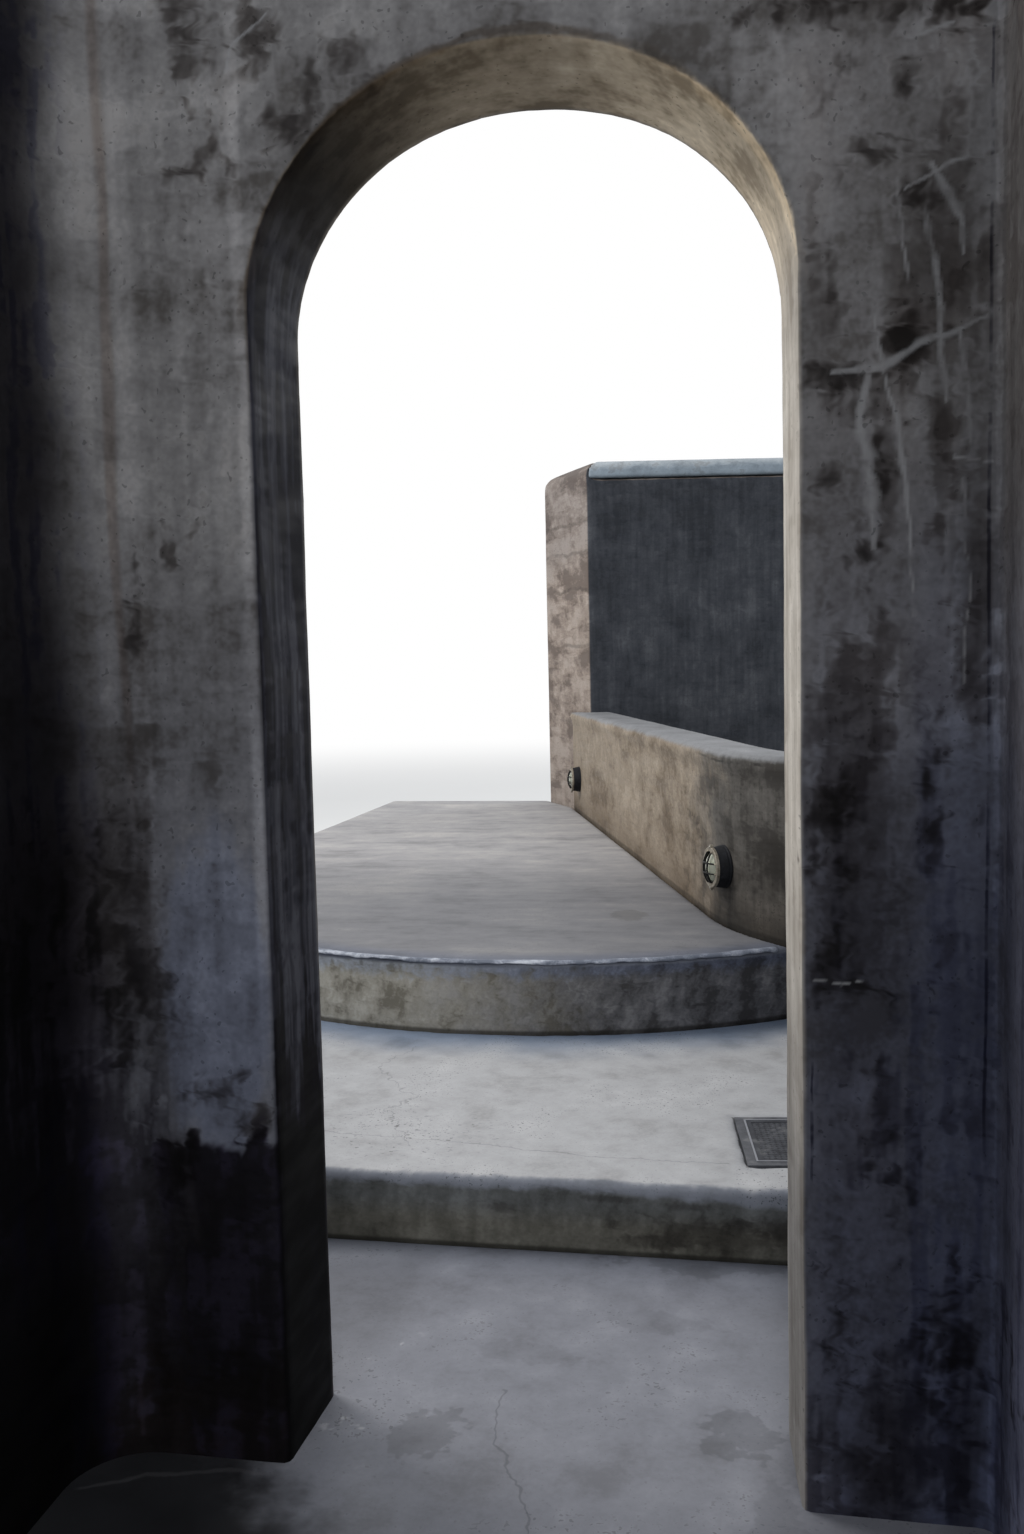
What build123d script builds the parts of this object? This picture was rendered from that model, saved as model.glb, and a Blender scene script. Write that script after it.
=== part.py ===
from build123d import *
import os
from math import cos, radians, sin, sqrt, tan

# Arched garden gateway in a hand-plastered wall, with the steps, terrace and planter wall behind it.
# X runs to the right, Y through the gate and away, Z up from the ground.
# The origin is on the ground, below the middle of the opening's front edge. Millimetres.

# Gate wall and its opening
opening_w = 900.0        # clear width at the front face
springing_h = 2040.0     # passage floor to the start of the arch
arch_rise = 390.0        # springing to crown, so the arch is a little flatter than a half circle
gate_t = 252.0           # thickness of the gate wall
splay_left = 9.0         # how far the left reveal closes in towards the back
splay_right = 22.0       # how far the right reveal closes in towards the back
soffit_fall = 18.0       # how far the arch drops towards the back
arris_r = 20.0           # soft plaster arris round the opening
crown_cover = 140.0      # masonry over the crown, up to the coping
left_jamb_w = 370.0      # opening to the left return wall
right_jamb_w = 310.0     # opening to the right return wall
return_len = 750.0       # how far the return walls stand forward of the gate
return_t = 250.0         # thickness of the return walls
cove_r = 130.0           # wide cove in the left corner
corner_r = 25.0          # tight trowelled corner on the right
coping_h = 120.0         # height of the round coping on every tall wall
coping_r = 108.0         # rounding of the coping's two long edges
floor_t = 50.0           # passage floor, from the ground up

# Lower step
landing_len = 684.0      # back of the gate wall to the lower riser
lower_rise = 178.0       # passage floor to lower tread
lower_going = 1237.0     # lower riser to the foremost point of the round upper riser
lower_wrap = 2064.0      # depth of the lower step where it wraps round the terrace nose
tread_t = 30.0           # screed on the lower step
tread_r = 20.0           # rounding of its nosing

# Upper step and terrace
upper_rise = 248.0       # lower tread to terrace
nose_r = 1738.0          # plan radius of the round terrace nose
nose_x = -522.0          # middle of the nose, left of the opening's middle
screed_t = 40.0          # screed on the terrace
screed_r = 18.0          # rounding of its nosing
screed_lip = 6.0         # how far the screed stands out over the round riser

# Planter wall, a round near end and a straight run
bend_r = 1310.0          # plan radius of its outer face
bend_x = 1450.0          # middle of the bend, right of the opening's middle
bend_back = 1213.0       # middle of the bend, behind the foremost point of the terrace nose
planter_lean = 15.9      # degrees that the straight run bears left
planter_run = 3568.0     # end of the bend to the corner of the tall wall
planter_t = 220.0        # wall thickness
planter_key = 20.0       # how far its far end runs on before it is cut by the tall wall
planter_h = 654.0        # terrace to the top of the cap
cap_t = 62.0             # thickness of the cap
cap_lip = 10.0           # how far the cap stands out on each side
cap_r = 28.0             # rounding of the cap's two top edges

# Tall corner wall at the end of the planter
tall_t = 250.0           # wall thickness
tall_h = 2144.0          # terrace to the underside of its coping
tall_side_len = 838.0    # length of the face that looks on to the terrace
tall_inset = 78.0        # its corner, inside the planter wall's outer face
tall_turn = 12.7         # degrees that the side face bears left of the planter run
tall_corner = 108.0      # angle between the side and front walls

# Drain cover let into the lower tread
drain_side = 350.0       # outside of the square frame
drain_x = 504.0          # its middle, right of the opening's middle
drain_back = 344.0       # its middle, behind the lower riser
drain_turn = 7.0         # degrees that it lies askew
drain_edge = 28.0        # width of the frame's flat top
drain_bead = 5.0         # width of the raised bead on the frame's inner edge
drain_bead_h = 2.0       # height of the bead over the tread
drain_ledge = 10.0       # ledge that carries the cover
drain_cover_t = 9.0      # thickness of the cover
drain_play = 1.5         # gap round the cover
drain_margin = 12.0      # plain border of the cover
drain_sunk = 2.0         # how far the patterned field lies below the border

# Bulkhead lamps on the planter wall
lamp_r = 80.0            # radius of the housing at the wall
lamp_depth = 44.0        # wall to the front of the housing
lamp_taper = 7.0         # how much the housing narrows to the front
lamp_edge_r = 3.0        # rounding of its cast edges
lamp_h = 215.0           # terrace to the lamp's middle
lamp_near_turn = 7.0     # degrees round the bend to the near lamp
lamp_far_run = 3588.0    # end of the bend to the far lamp
glass_r = 57.0           # radius of the glass at its rim
glass_bulge = 24.0       # how far the glass stands out
glass_t = 4.0            # thickness of the glass
ring_t = 11.0            # thickness of the guard's ring
lug_r = 9.0              # screw lugs on the ring
bar_r = 3.2              # guard bars
bar_spread = 19.0        # guard bars, from the middle
bar_clear = 4.0          # guard bars clear of the glass
seat_gap = 0.3           # glass clear of the ring round it

# Places that follow from the sizes above
reach = 12000.0          # longer than the whole structure, for construction areas
half_w = opening_w / 2
left_face = -half_w - left_jamb_w
right_face = half_w + right_jamb_w
left_outer = left_face - return_t
right_edge = right_face + return_t
arch_spring_z = floor_t + springing_h
crown_z = arch_spring_z + arch_rise
wall_top = crown_z + crown_cover
riser_y = gate_t + landing_len
tread_z = floor_t + lower_rise
terrace_z = tread_z + upper_rise
nose_front = riser_y + lower_going
nose_y = nose_front + nose_r
left_edge = nose_x - nose_r
bend_y = nose_front + bend_back
planter_top = terrace_z + planter_h
tall_top = terrace_z + tall_h

PARTS = {}


def area(x0, y0, x1, y1):
    """Plan rectangle between two corners."""
    return Pos((x0 + x1) / 2, (y0 + y1) / 2) * Rectangle(x1 - x0, y1 - y0)


def raised(plan, z0, z1):
    """Plan area built up from one height to another."""
    return extrude(Pos(0, 0, z0) * plan, z1 - z0)


def block(x0, x1, y0, y1, z0, z1):
    """Box between two corners, for dividing one mass of masonry."""
    return Pos((x0 + x1) / 2, (y0 + y1) / 2, (z0 + z1) / 2) * Box(x1 - x0, y1 - y0, z1 - z0)


def biggest(shape):
    """The main solid of a cut shape."""
    return shape.solids().sort_by(SortBy.VOLUME)[-1]


# The three-sided enclosure of gate wall and return walls

def enclosure_plan():
    """Gate wall between two return walls, with a wide cove on the left and a tight corner on the right."""
    outer = area(left_outer, -return_len, right_edge, gate_t)
    inner = area(left_face, -return_len - reach, right_face, 0)
    inner_corners = inner.vertices().group_by(Axis.Y)[-1].sort_by(Axis.X)
    inner = fillet(inner_corners[0], cove_r)
    inner = fillet(inner.vertices().group_by(Axis.Y)[-1].sort_by(Axis.X)[-1], corner_r)
    return outer - inner


def arch_face(left, right, springing):
    """Upright outline of the opening, a flattened round arch on straight sides."""
    middle = (left + right) / 2
    sides = Polyline((left, springing), (left, -floor_t), (right, -floor_t), (right, springing))
    arch = EllipticalCenterArc((middle, springing), (right - left) / 2, arch_rise, 0, arc_size=180)
    return Plane.XZ * make_face(sides + arch)


def opening_core():
    """The passage through the wall, which closes in a little towards the back."""
    front = arch_face(-half_w, half_w, arch_spring_z)
    back = arch_face(splay_left - half_w, half_w - splay_right, arch_spring_z - soffit_fall)
    return loft([front, Pos(0, gate_t, 0) * back], ruled=True)


def opening_arrises(wall):
    """Edges of the opening on both faces of the wall."""
    edges = []
    for y in (0.0, gate_t):
        for edge in wall.edges().filter_by_position(Axis.Y, y - 0.01, y + 0.01):
            place = edge.center()
            if abs(place.X) < half_w + 1 and 1 < place.Z < crown_z + 1:
                edges.append(edge)
    return edges


def build_enclosure():
    plan = enclosure_plan()
    walls = raised(plan, 0, wall_top) - opening_core()
    walls = fillet(opening_arrises(walls), arris_r)
    split_y = -cove_r
    split_z = arch_spring_z - soffit_fall
    coping = raised(plan, wall_top, wall_top + coping_h)
    ends = coping.edges().filter_by_position(Axis.Y, -return_len - 0.01, -return_len + 0.01)
    long_edges = coping.edges().group_by(Axis.Z)[-1] - ends
    coping = fillet(long_edges, coping_r)
    sides = {"left": (left_outer, 0.0), "right": (0.0, right_edge)}
    for side, (x0, x1) in sides.items():
        PARTS[side + "_return_wall"] = walls & block(x0, x1, -return_len, split_y, 0, wall_top)
        PARTS[side + "_jamb_wall"] = walls & block(x0, x1, split_y, gate_t, 0, split_z)
        PARTS[side + "_return_coping"] = coping & block(x0, x1, -return_len, split_y, wall_top, wall_top + coping_h)
    PARTS["arch_head_wall"] = walls & block(left_outer, right_edge, split_y, gate_t, split_z, wall_top)
    PARTS["gate_coping"] = coping & block(left_outer, right_edge, split_y, gate_t, wall_top, wall_top + coping_h)
    floor_plan = area(left_outer, -return_len, right_edge, riser_y)
    PARTS["passage_floor"] = raised(floor_plan, 0, floor_t) - walls


# Plan areas behind the gate

def bend_place():
    """Middle of the planter's bend, turned so that local Y follows the straight run."""
    return Pos(bend_x, bend_y) * Rot(0, 0, planter_lean)


def bed_area(grow, run):
    """Planter bed with its round near end, grown outwards by a given amount."""
    radius = bend_r + grow
    strip = Pos(reach / 2 - radius, run / 2) * Rectangle(reach, run)
    return bend_place() * (Circle(radius) + strip)


def left_of_edge():
    """Everything left of the structure's right edge."""
    return area(right_edge - 2 * reach, -reach, right_edge, 2 * reach)


def direction(angle):
    """Unit vector in the frame of the planter's bend, counted from its X."""
    return Vector(cos(radians(angle)), sin(radians(angle)))


def tall_corner_point():
    """Near corner of the tall wall, in the frame of the planter's bend."""
    return Vector(tall_inset - bend_r, planter_run)


def terrace_back():
    """Far edge of the terrace, level with the far end of the tall wall's side face."""
    far_corner = tall_corner_point() + direction(90 + tall_turn) * tall_side_len
    return (bend_place() * Pos(far_corner.X, far_corner.Y)).position.Y


def tall_plans():
    """Side and front walls of the tall corner, mitred where they meet."""
    corner = tall_corner_point()
    side = direction(90 + tall_turn)
    front = direction(90 + tall_turn - tall_corner)
    inner = corner + (side + front) * (tall_t / sin(radians(tall_corner)))
    side_in = side.rotate(Axis.Z, -90) * tall_t
    front_in = front.rotate(Axis.Z, 90) * tall_t
    side_end = corner + side * tall_side_len
    front_end = corner + front * reach
    side_plan = make_face(Polyline(corner, side_end, side_end + side_in, inner, close=True))
    front_plan = make_face(Polyline(corner, inner, front_end + front_in, front_end, close=True))
    return bend_place() * side_plan, (bend_place() * front_plan) & left_of_edge()


def terrace_area(lip):
    """Round nose and straight body of the terrace, up to the planter wall and the tall wall."""
    nose = Pos(nose_x, nose_y) * Circle(nose_r + lip)
    body = area(left_edge - lip, nose_y, right_edge, terrace_back())
    side_plan, front_plan = tall_plans()
    return nose + body - bed_area(0, reach) - side_plan - front_plan


def lower_area():
    """Lower step, straight in front and hollowed out for the terrace nose and the planter."""
    whole = area(left_edge, riser_y, right_edge, riser_y + lower_wrap)
    return whole - Pos(nose_x, nose_y) * Circle(nose_r) - bed_area(0, reach)


# Steps and terrace

def outer_top_edges(slab, top):
    """Top edges of a slab that end in the open, at its front, its left side or its round nose."""
    edges = []
    for edge in slab.edges().filter_by_position(Axis.Z, top - 0.01, top + 0.01):
        place = edge.center()
        radius = sqrt((place.X - nose_x) ** 2 + (place.Y - nose_y) ** 2)
        on_front = abs(place.Y - riser_y) < 1
        on_left = abs(place.X - left_edge) < screed_lip + 1
        on_nose = top > tread_z + 1 and place.Y < nose_y and abs(radius - nose_r) < nose_r / 2
        if on_front or on_left or (on_nose and edge.geom_type == GeomType.CIRCLE and edge.radius > nose_r - 1):
            edges.append(edge)
    return edges


def drain_place():
    """Middle of the drain cover in plan."""
    return Pos(drain_x, riser_y + drain_back) * Rot(0, 0, drain_turn)


def build_steps():
    lower = lower_area()
    terrace = terrace_area(0)
    tread_under = tread_z - tread_t
    screed_under = terrace_z - screed_t
    PARTS["lower_step_base"] = raised(lower, 0, tread_under)
    tread = raised(lower, tread_under, tread_z)
    tread = fillet(outer_top_edges(tread, tread_z), tread_r)
    pocket = raised(drain_place() * Rectangle(drain_side, drain_side), tread_under, tread_z)
    PARTS["lower_step_tread"] = tread - pocket
    PARTS["terrace_base"] = raised(terrace, 0, screed_under)
    screed = raised(terrace_area(screed_lip), screed_under, terrace_z)
    PARTS["terrace_screed"] = fillet(outer_top_edges(screed, terrace_z), screed_r)


def square_ring(outside, inside):
    """Square frame in plan, where the drain lies."""
    return drain_place() * (Rectangle(outside, outside) - Rectangle(inside, inside))


def build_drain():
    """Frame with a ledge and a raised bead, and the cover that lies in it with a sunk field."""
    inside = drain_side - 2 * drain_edge
    through = inside - 2 * drain_ledge
    cover_side = inside - 2 * drain_play
    field = cover_side - 2 * drain_margin
    under = tread_z - tread_t
    ledge_z = tread_z - drain_cover_t
    frame = raised(square_ring(drain_side, inside), under, tread_z)
    frame = frame + raised(square_ring(inside, through), under, ledge_z)
    bead = raised(square_ring(inside + 2 * drain_bead, inside), tread_z, tread_z + drain_bead_h)
    PARTS["drain_frame"] = frame + bead
    cover = raised(drain_place() * Rectangle(cover_side, cover_side), ledge_z, tread_z)
    PARTS["drain_cover"] = cover - raised(drain_place() * Rectangle(field, field), tread_z - drain_sunk, tread_z)


# Planter wall and the tall corner wall

def top_long_edges(shape, top, ends):
    """Top edges of a wall or cap, without those that cross it at an end."""
    edges = []
    for edge in shape.edges().filter_by_position(Axis.Z, top - 0.01, top + 0.01):
        if edge.length > ends:
            edges.append(edge)
    return edges


def planter_plan(grow):
    """Band of the planter wall along the bed, grown on both sides by a given amount."""
    side_plan, front_plan = tall_plans()
    run = planter_run + tall_inset / tan(radians(tall_turn)) + planter_key
    band = bed_area(grow, run) - bed_area(-planter_t - grow, 2 * reach)
    band = (band & left_of_edge()) - side_plan - front_plan
    return band.faces().sort_by(SortBy.AREA)[-1]


def build_planter():
    under_cap = planter_top - cap_t
    PARTS["planter_wall"] = raised(planter_plan(0), 0, under_cap)
    cap = raised(planter_plan(cap_lip), under_cap, planter_top)
    PARTS["planter_cap"] = fillet(top_long_edges(cap, planter_top, 2 * planter_t), cap_r)


def build_tall_wall():
    side_plan, front_plan = tall_plans()
    coping = raised(side_plan + front_plan, tall_top, tall_top + coping_h)
    coping = fillet(top_long_edges(coping, tall_top + coping_h, 1.5 * tall_t), coping_r)
    for name, plan in (("side", side_plan), ("front", front_plan)):
        PARTS["tall_wall_" + name] = raised(plan, 0, tall_top)
        PARTS["tall_coping_" + name] = coping & raised(plan, tall_top, tall_top + coping_h)


# Bulkhead lamps

def lamp_plane(x, y, angle):
    """Upright plane on the planter wall's face, looking out along an angle in the bend's frame."""
    centre = bend_place() * Pos(x, y)
    outward = direction(angle + planter_lean)
    place = centre.position + Vector(0, 0, terrace_z + lamp_h)
    return Plane(origin=place, x_dir=Vector(0, 0, 1).cross(outward), z_dir=outward)


def dome(rim_r, bulge):
    """Solid spherical cap that stands on the housing's front."""
    sphere_r = (rim_r ** 2 + bulge ** 2) / (2 * bulge)
    ball = Pos(0, 0, lamp_depth + bulge - sphere_r) * Sphere(sphere_r)
    return ball & (Pos(0, 0, lamp_depth + bulge) * Box(3 * rim_r, 3 * rim_r, 2 * bulge))


def lamp_housing():
    """Round cast back box that narrows to the front."""
    front_r = lamp_r - lamp_taper
    sink = lamp_r ** 2 / bend_r
    outline = Polyline((0, -sink), (lamp_r, -sink), (lamp_r, lamp_depth / 4), (front_r, lamp_depth), (0, lamp_depth))
    body = revolve(Plane.XZ * make_face(outline + Line((0, lamp_depth), (0, -sink))), Axis.Z)
    return fillet(body.edges().filter_by_position(Axis.Z, lamp_depth / 5, lamp_depth + 1), lamp_edge_r)


def lamp_glass():
    """Thin domed glass with a flat rim under the guard's ring."""
    shell = dome(glass_r, glass_bulge) - dome(glass_r - glass_t, glass_bulge - glass_t)
    return shell


def lamp_guard():
    """Cast ring with two screw lugs and four bowed bars that cross over the glass."""
    inner_r = glass_r + seat_gap
    outer_r = lamp_r - lamp_taper / 2
    ring = Pos(0, 0, lamp_depth) * extrude(Circle(outer_r) - Circle(inner_r), ring_t)
    ring = fillet(ring.edges().group_by(Axis.Z)[-1], ring_t / 4)
    for side in (-1, 1):
        lug = Pos(0, side * outer_r, lamp_depth) * extrude(Circle(lug_r), ring_t)
        ring = ring + (lug - Pos(0, 0, lamp_depth) * extrude(Circle(inner_r), ring_t))
    foot_r = (inner_r + outer_r) / 2
    foot_z = lamp_depth + ring_t - bar_r
    top_z = lamp_depth + glass_bulge + bar_clear + bar_r
    rise = top_z - foot_z
    bow_r = (foot_r ** 2 + rise ** 2) / (2 * rise)
    half_chord = sqrt(foot_r ** 2 - bar_spread ** 2)
    mid_z = top_z - bow_r + sqrt(bow_r ** 2 - bar_spread ** 2)
    path = ThreePointArc((-half_chord, bar_spread, foot_z), (0, bar_spread, mid_z), (half_chord, bar_spread, foot_z))
    bar = sweep(Plane(origin=path @ 0, z_dir=path % 0) * Circle(bar_r), path)
    for turn in (0, 90, 180, 270):
        ring = ring + Rot(0, 0, turn) * bar
    return ring


def build_lamps():
    near_angle = 180 + lamp_near_turn
    near = direction(near_angle) * bend_r
    places = {
        "lamp_near": lamp_plane(near.X, near.Y, near_angle),
        "lamp_far": lamp_plane(-bend_r, lamp_far_run, 180),
    }
    for name, plane in places.items():
        PARTS[name + "_housing"] = biggest(plane * lamp_housing() - PARTS["planter_wall"])
        PARTS[name + "_glass"] = plane * lamp_glass()
        PARTS[name + "_guard"] = plane * lamp_guard()


def write_parts():
    os.makedirs("parts", exist_ok=True)
    for name, shape in PARTS.items():
        solid = biggest(shape)
        solid.label = name
        export_step(solid, os.path.join("parts", name + ".step"))


build_enclosure()
build_steps()
build_drain()
build_planter()
build_tall_wall()
build_lamps()
write_parts()
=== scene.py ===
import math
import bpy
import bmesh
from mathutils import Euler, Matrix, Vector, noise


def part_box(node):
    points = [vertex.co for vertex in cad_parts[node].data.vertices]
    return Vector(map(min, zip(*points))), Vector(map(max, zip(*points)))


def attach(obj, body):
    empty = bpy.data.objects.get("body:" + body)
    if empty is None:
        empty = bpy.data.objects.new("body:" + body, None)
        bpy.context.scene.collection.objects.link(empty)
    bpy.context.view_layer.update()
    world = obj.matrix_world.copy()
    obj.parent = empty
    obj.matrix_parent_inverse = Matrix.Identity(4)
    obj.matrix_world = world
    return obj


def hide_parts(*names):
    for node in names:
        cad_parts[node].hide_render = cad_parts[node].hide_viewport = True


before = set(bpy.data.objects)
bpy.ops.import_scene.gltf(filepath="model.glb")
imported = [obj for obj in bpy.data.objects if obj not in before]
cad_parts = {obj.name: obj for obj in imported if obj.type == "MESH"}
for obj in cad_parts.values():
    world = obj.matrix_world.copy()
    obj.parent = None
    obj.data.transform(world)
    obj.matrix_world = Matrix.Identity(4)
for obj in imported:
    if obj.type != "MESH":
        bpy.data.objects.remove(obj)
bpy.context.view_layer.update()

# Sizes that several pieces share, in metres, as the built structure has them
FLOOR_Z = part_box("passage_floor")[1].z
TREAD_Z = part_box("lower_step_tread")[1].z
TERRACE_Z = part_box("terrace_screed")[1].z
WALL_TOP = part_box("arch_head_wall")[1].z
GATE_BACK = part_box("arch_head_wall")[1].y
RISER_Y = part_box("lower_step_tread")[0].y
ARCH_R = 0.4546
ARCH_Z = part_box("gate_coping")[0].z - 0.140 - ARCH_R
NOSE_MIDDLE = Vector((-0.522, 3.911))
NOSE_R = 1.738
SCREED_LIP = 0.006
BEND_MIDDLE = Vector((1.450, 3.386))
BEND_R = 1.310
PLANTER_LEAN = math.radians(15.9)
PLANTER_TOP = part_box("planter_cap")[1].z
TALL_LEAN = math.radians(28.6)
TALL_FRONT = (0.184, -0.983, 0.0)
LAMP_Z = TERRACE_Z + 0.215
LAMP_NEAR_TURN = math.radians(7.0)
LAMP_FAR_RUN = 3.588
LAMP_R = 0.080
LAMP_DEPTH = 0.044
GLASS_R = 0.057
GLASS_BULGE = 0.024
GLASS_T = 0.004
DRAIN = (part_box("drain_cover")[0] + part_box("drain_cover")[1]) / 2
DRAIN_TURN = math.radians(7.0)
DRAIN_HALF = 0.175

# How far the hand work departs from the plain solids
CROWN_SAG = 0.014
RUN_HEIGHT = 0.0009
RUN_REACH = 0.034
REVEAL_TURNS = 90
REVEAL_RIM = 0.030

# Seed of the wander in the lime runs
RUN_SEED = 1795786023


def lamp_places():
    """Plan point of each lamp on the planter wall, with the direction that it faces."""
    turn = Matrix.Rotation(PLANTER_LEAN, 2)
    near = math.pi + LAMP_NEAR_TURN
    on_bend = Vector((BEND_R * math.cos(near), BEND_R * math.sin(near)))
    on_run = Vector((-BEND_R, LAMP_FAR_RUN))
    return ((BEND_MIDDLE + turn @ on_bend, near + PLANTER_LEAN),
            (BEND_MIDDLE + turn @ on_run, math.pi + PLANTER_LEAN))


LAMP_PLACES = lamp_places()


# Short calls for building node trees

class Graph:
    """One node tree, with a short call for each kind of node that it needs."""

    def __init__(self, tree):
        self.tree = tree

    def put(self, kind, **settings):
        """Adds a node and sets its own choices."""
        node = self.tree.nodes.new(kind)
        for key, value in settings.items():
            setattr(node, key, value)
        return node

    def feed(self, socket, value):
        """Joins a socket to another node's output, or sets its plain value."""
        if isinstance(value, bpy.types.NodeSocket):
            self.tree.links.new(value, socket)
        else:
            socket.default_value = value

    def fill(self, node, values, output=0):
        """Feeds a node's first inputs in order, and gives one of its outputs."""
        for socket, value in zip(node.inputs, values):
            self.feed(socket, value)
        return node.outputs[output]

    def math(self, operation, *values, clamp=False):
        return self.fill(self.put("ShaderNodeMath", operation=operation, use_clamp=clamp), values)

    def add(self, a, b):
        return self.math("ADD", a, b)

    def minus(self, a, b):
        return self.math("SUBTRACT", a, b)

    def share(self, part, amount, base):
        """The base with a share of a part added."""
        return self.math("MULTIPLY_ADD", part, amount, base)

    def fold(self, operation, values):
        """Joins a row of values by one operation."""
        result = values[0]
        for value in values[1:]:
            result = self.math(operation, result, value)
        return result

    def times(self, *values):
        return self.fold("MULTIPLY", values)

    def most(self, *values):
        return self.fold("MAXIMUM", values)

    def centred(self, value):
        """A value from 0 to 1, moved to lie about 0."""
        return self.minus(value, 0.5)

    def vector(self, operation, *values, scale=None):
        """Vector operation, giving its number where the answer is one."""
        node = self.put("ShaderNodeVectorMath", operation=operation)
        if scale is not None:
            self.feed(node.inputs[3], scale)
        return self.fill(node, values, 1 if operation in ("LENGTH", "DISTANCE", "DOT_PRODUCT") else 0)

    def split(self, vector):
        node = self.put("ShaderNodeSeparateXYZ")
        self.feed(node.inputs[0], vector)
        return node.outputs

    def join(self, x, y, z):
        return self.fill(self.put("ShaderNodeCombineXYZ"), (x, y, z))

    def noise(self, vector, scale, detail=4.0, rough=0.55, bend=0.0):
        """Soft noise from 0 to 1 over a place."""
        node = self.put("ShaderNodeTexNoise")
        for key, value in (("Vector", vector), ("Scale", scale), ("Detail", detail), ("Roughness", rough),
                           ("Distortion", bend)):
            self.feed(node.inputs[key], value)
        return node.outputs[0]

    def through(self, vector, matrix):
        """The place taken through a matrix, one row at a time."""
        return self.join(*[self.vector("DOT_PRODUCT", vector, tuple(row)) for row in matrix])

    def stretch(self, vector, scale, turn):
        """The place drawn out by a scale along each axis, then turned."""
        return self.through(vector, Euler(turn).to_matrix() @ Matrix.Diagonal(scale))

    def step(self, value, low, high, out_low=0.0, out_high=1.0):
        """Smooth rise from out_low to out_high while the value goes from low to high."""
        node = self.put("ShaderNodeMapRange", interpolation_type="SMOOTHSTEP")
        return self.fill(node, (value, low, high, out_low, out_high))

    def near(self, value, middle, outer, inner):
        """1 where a value is within the inner distance of a middle, 0 past the outer one."""
        return self.step(self.math("ABSOLUTE", self.minus(value, middle)), outer, inner)

    def blend(self, amount, a, b, how="MIX"):
        """Mixes two colours by an amount."""
        node = self.put("ShaderNodeMix", data_type="RGBA", blend_type=how)
        for key, value in (("Factor", amount), (6, a), (7, b)):
            self.feed(node.inputs[key], value)
        return node.outputs[2]

    def use(self, group, **values):
        """Places a shared group and feeds its inputs by name."""
        node = self.put("ShaderNodeGroup", node_tree=group)
        for key, value in values.items():
            self.feed(node.inputs[key], value)
        return node.outputs


SOCKET_KINDS = {float: "Float", int: "Int", tuple: "Vector"}


def new_tree(sort, name, inputs, outputs):
    """Empty tree with named sockets. An input is a plain value, or the word for its kind of socket."""
    tree = bpy.data.node_groups.new(name, sort)
    for label, value in inputs.items():
        kind = SOCKET_KINDS.get(type(value), value)
        socket = tree.interface.new_socket(label, in_out="INPUT", socket_type="NodeSocket" + kind)
        if kind != value:
            socket.default_value = value
    for label, kind in outputs.items():
        tree.interface.new_socket(label, in_out="OUTPUT", socket_type="NodeSocket" + kind)
    g = Graph(tree)
    return tree, g, g.put("NodeGroupInput").outputs, g.put("NodeGroupOutput").inputs


# Shared effects

def make_trowelled():
    """Hand-trowelled cement: a tone from clouds, patches, washes, smears and grain, and its relief."""
    labels = ("Tone", "Height", "Roughness", "Clouds", "Patches", "Washes", "Specks", "Pits", "Marks",
              "Streaks")
    tree, g, given, out = new_tree(
        "ShaderNodeTree", "trowelled_cement",
        {"Vector": "Vector", "Scale": 1.0, "Contrast": 1.0, "Wash": 0.4, "Upright": 1.0, "Smear": 0.2,
         "Speck": 0.3}, dict.fromkeys(labels, "Float"))
    place = g.vector("SCALE", given["Vector"], scale=given["Scale"])
    smears = g.noise(g.stretch(place, (5.0, 5.0, 19.0), (0.3, 0.5, 0.0)), 1.0, 2.0, 0.6)
    pushed = g.vector("ADD", place, g.vector("SCALE", (0.7, 0.5, 1.0), scale=g.times(smears, 0.12)))
    clouds = g.noise(place, 1.8, 2.0, 0.66)
    patches = g.noise(pushed, 7.0, 3.0, 0.70)
    washes = g.noise(g.vector("MULTIPLY", place, g.join(12.0, 12.0, given["Upright"])), 1.0, 2.0, 0.66)
    grain = g.noise(place, 70.0, 1.0, 0.8)
    tone = g.times(g.centred(clouds), 0.62)
    for part, amount in ((patches, 0.55), (washes, given["Wash"]), (smears, given["Smear"]), (grain, 0.16)):
        tone = g.share(g.centred(part), amount, tone)
    tone = g.share(tone, given["Contrast"], 0.5)
    specks = g.times(g.step(grain, 0.62, 0.70), g.step(clouds, 0.50, 0.60), given["Speck"])
    bubbles = g.noise(place, 118.0, 0.0)
    pits = g.times(g.step(bubbles, 0.755, 0.790), g.step(patches, 0.42, 0.54))
    marks = g.noise(g.stretch(pushed, (22.0, 26.0, 17.0), (0.5, 0.9, 0.7)), 1.0, 2.0, 0.68)
    leaning = g.vector("MULTIPLY_ADD", g.join(clouds, clouds, smears), (0.05, 0.05, 0.5), place)
    streaks = g.noise(g.stretch(leaning, (24.0, 24.0, 1.9), (0.03, 0.03, 0.6)), 1.0, 2.0, 0.64)
    rough = g.step(smears, 0.3, 0.7, 0.58, 0.80)
    values = (tone, smears, rough, clouds, patches, washes, specks, pits, marks, streaks)
    for label, value in zip(labels, values):
        g.feed(out[label], value)
    return tree


def make_three_tones():
    """Dark, middle and light colour of one finish, picked by its tone."""
    tree, g, given, out = new_tree("ShaderNodeTree", "three_tones",
                                   {"Tone": 0.5, "Dark": "Color", "Mid": "Color", "Light": "Color"},
                                   {"Color": "Color"})
    low = g.blend(g.step(given["Tone"], 0.26, 0.52), given["Dark"], given["Mid"])
    g.feed(out["Color"], g.blend(g.step(given["Tone"], 0.46, 0.80), low, given["Light"]))
    return tree


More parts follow.
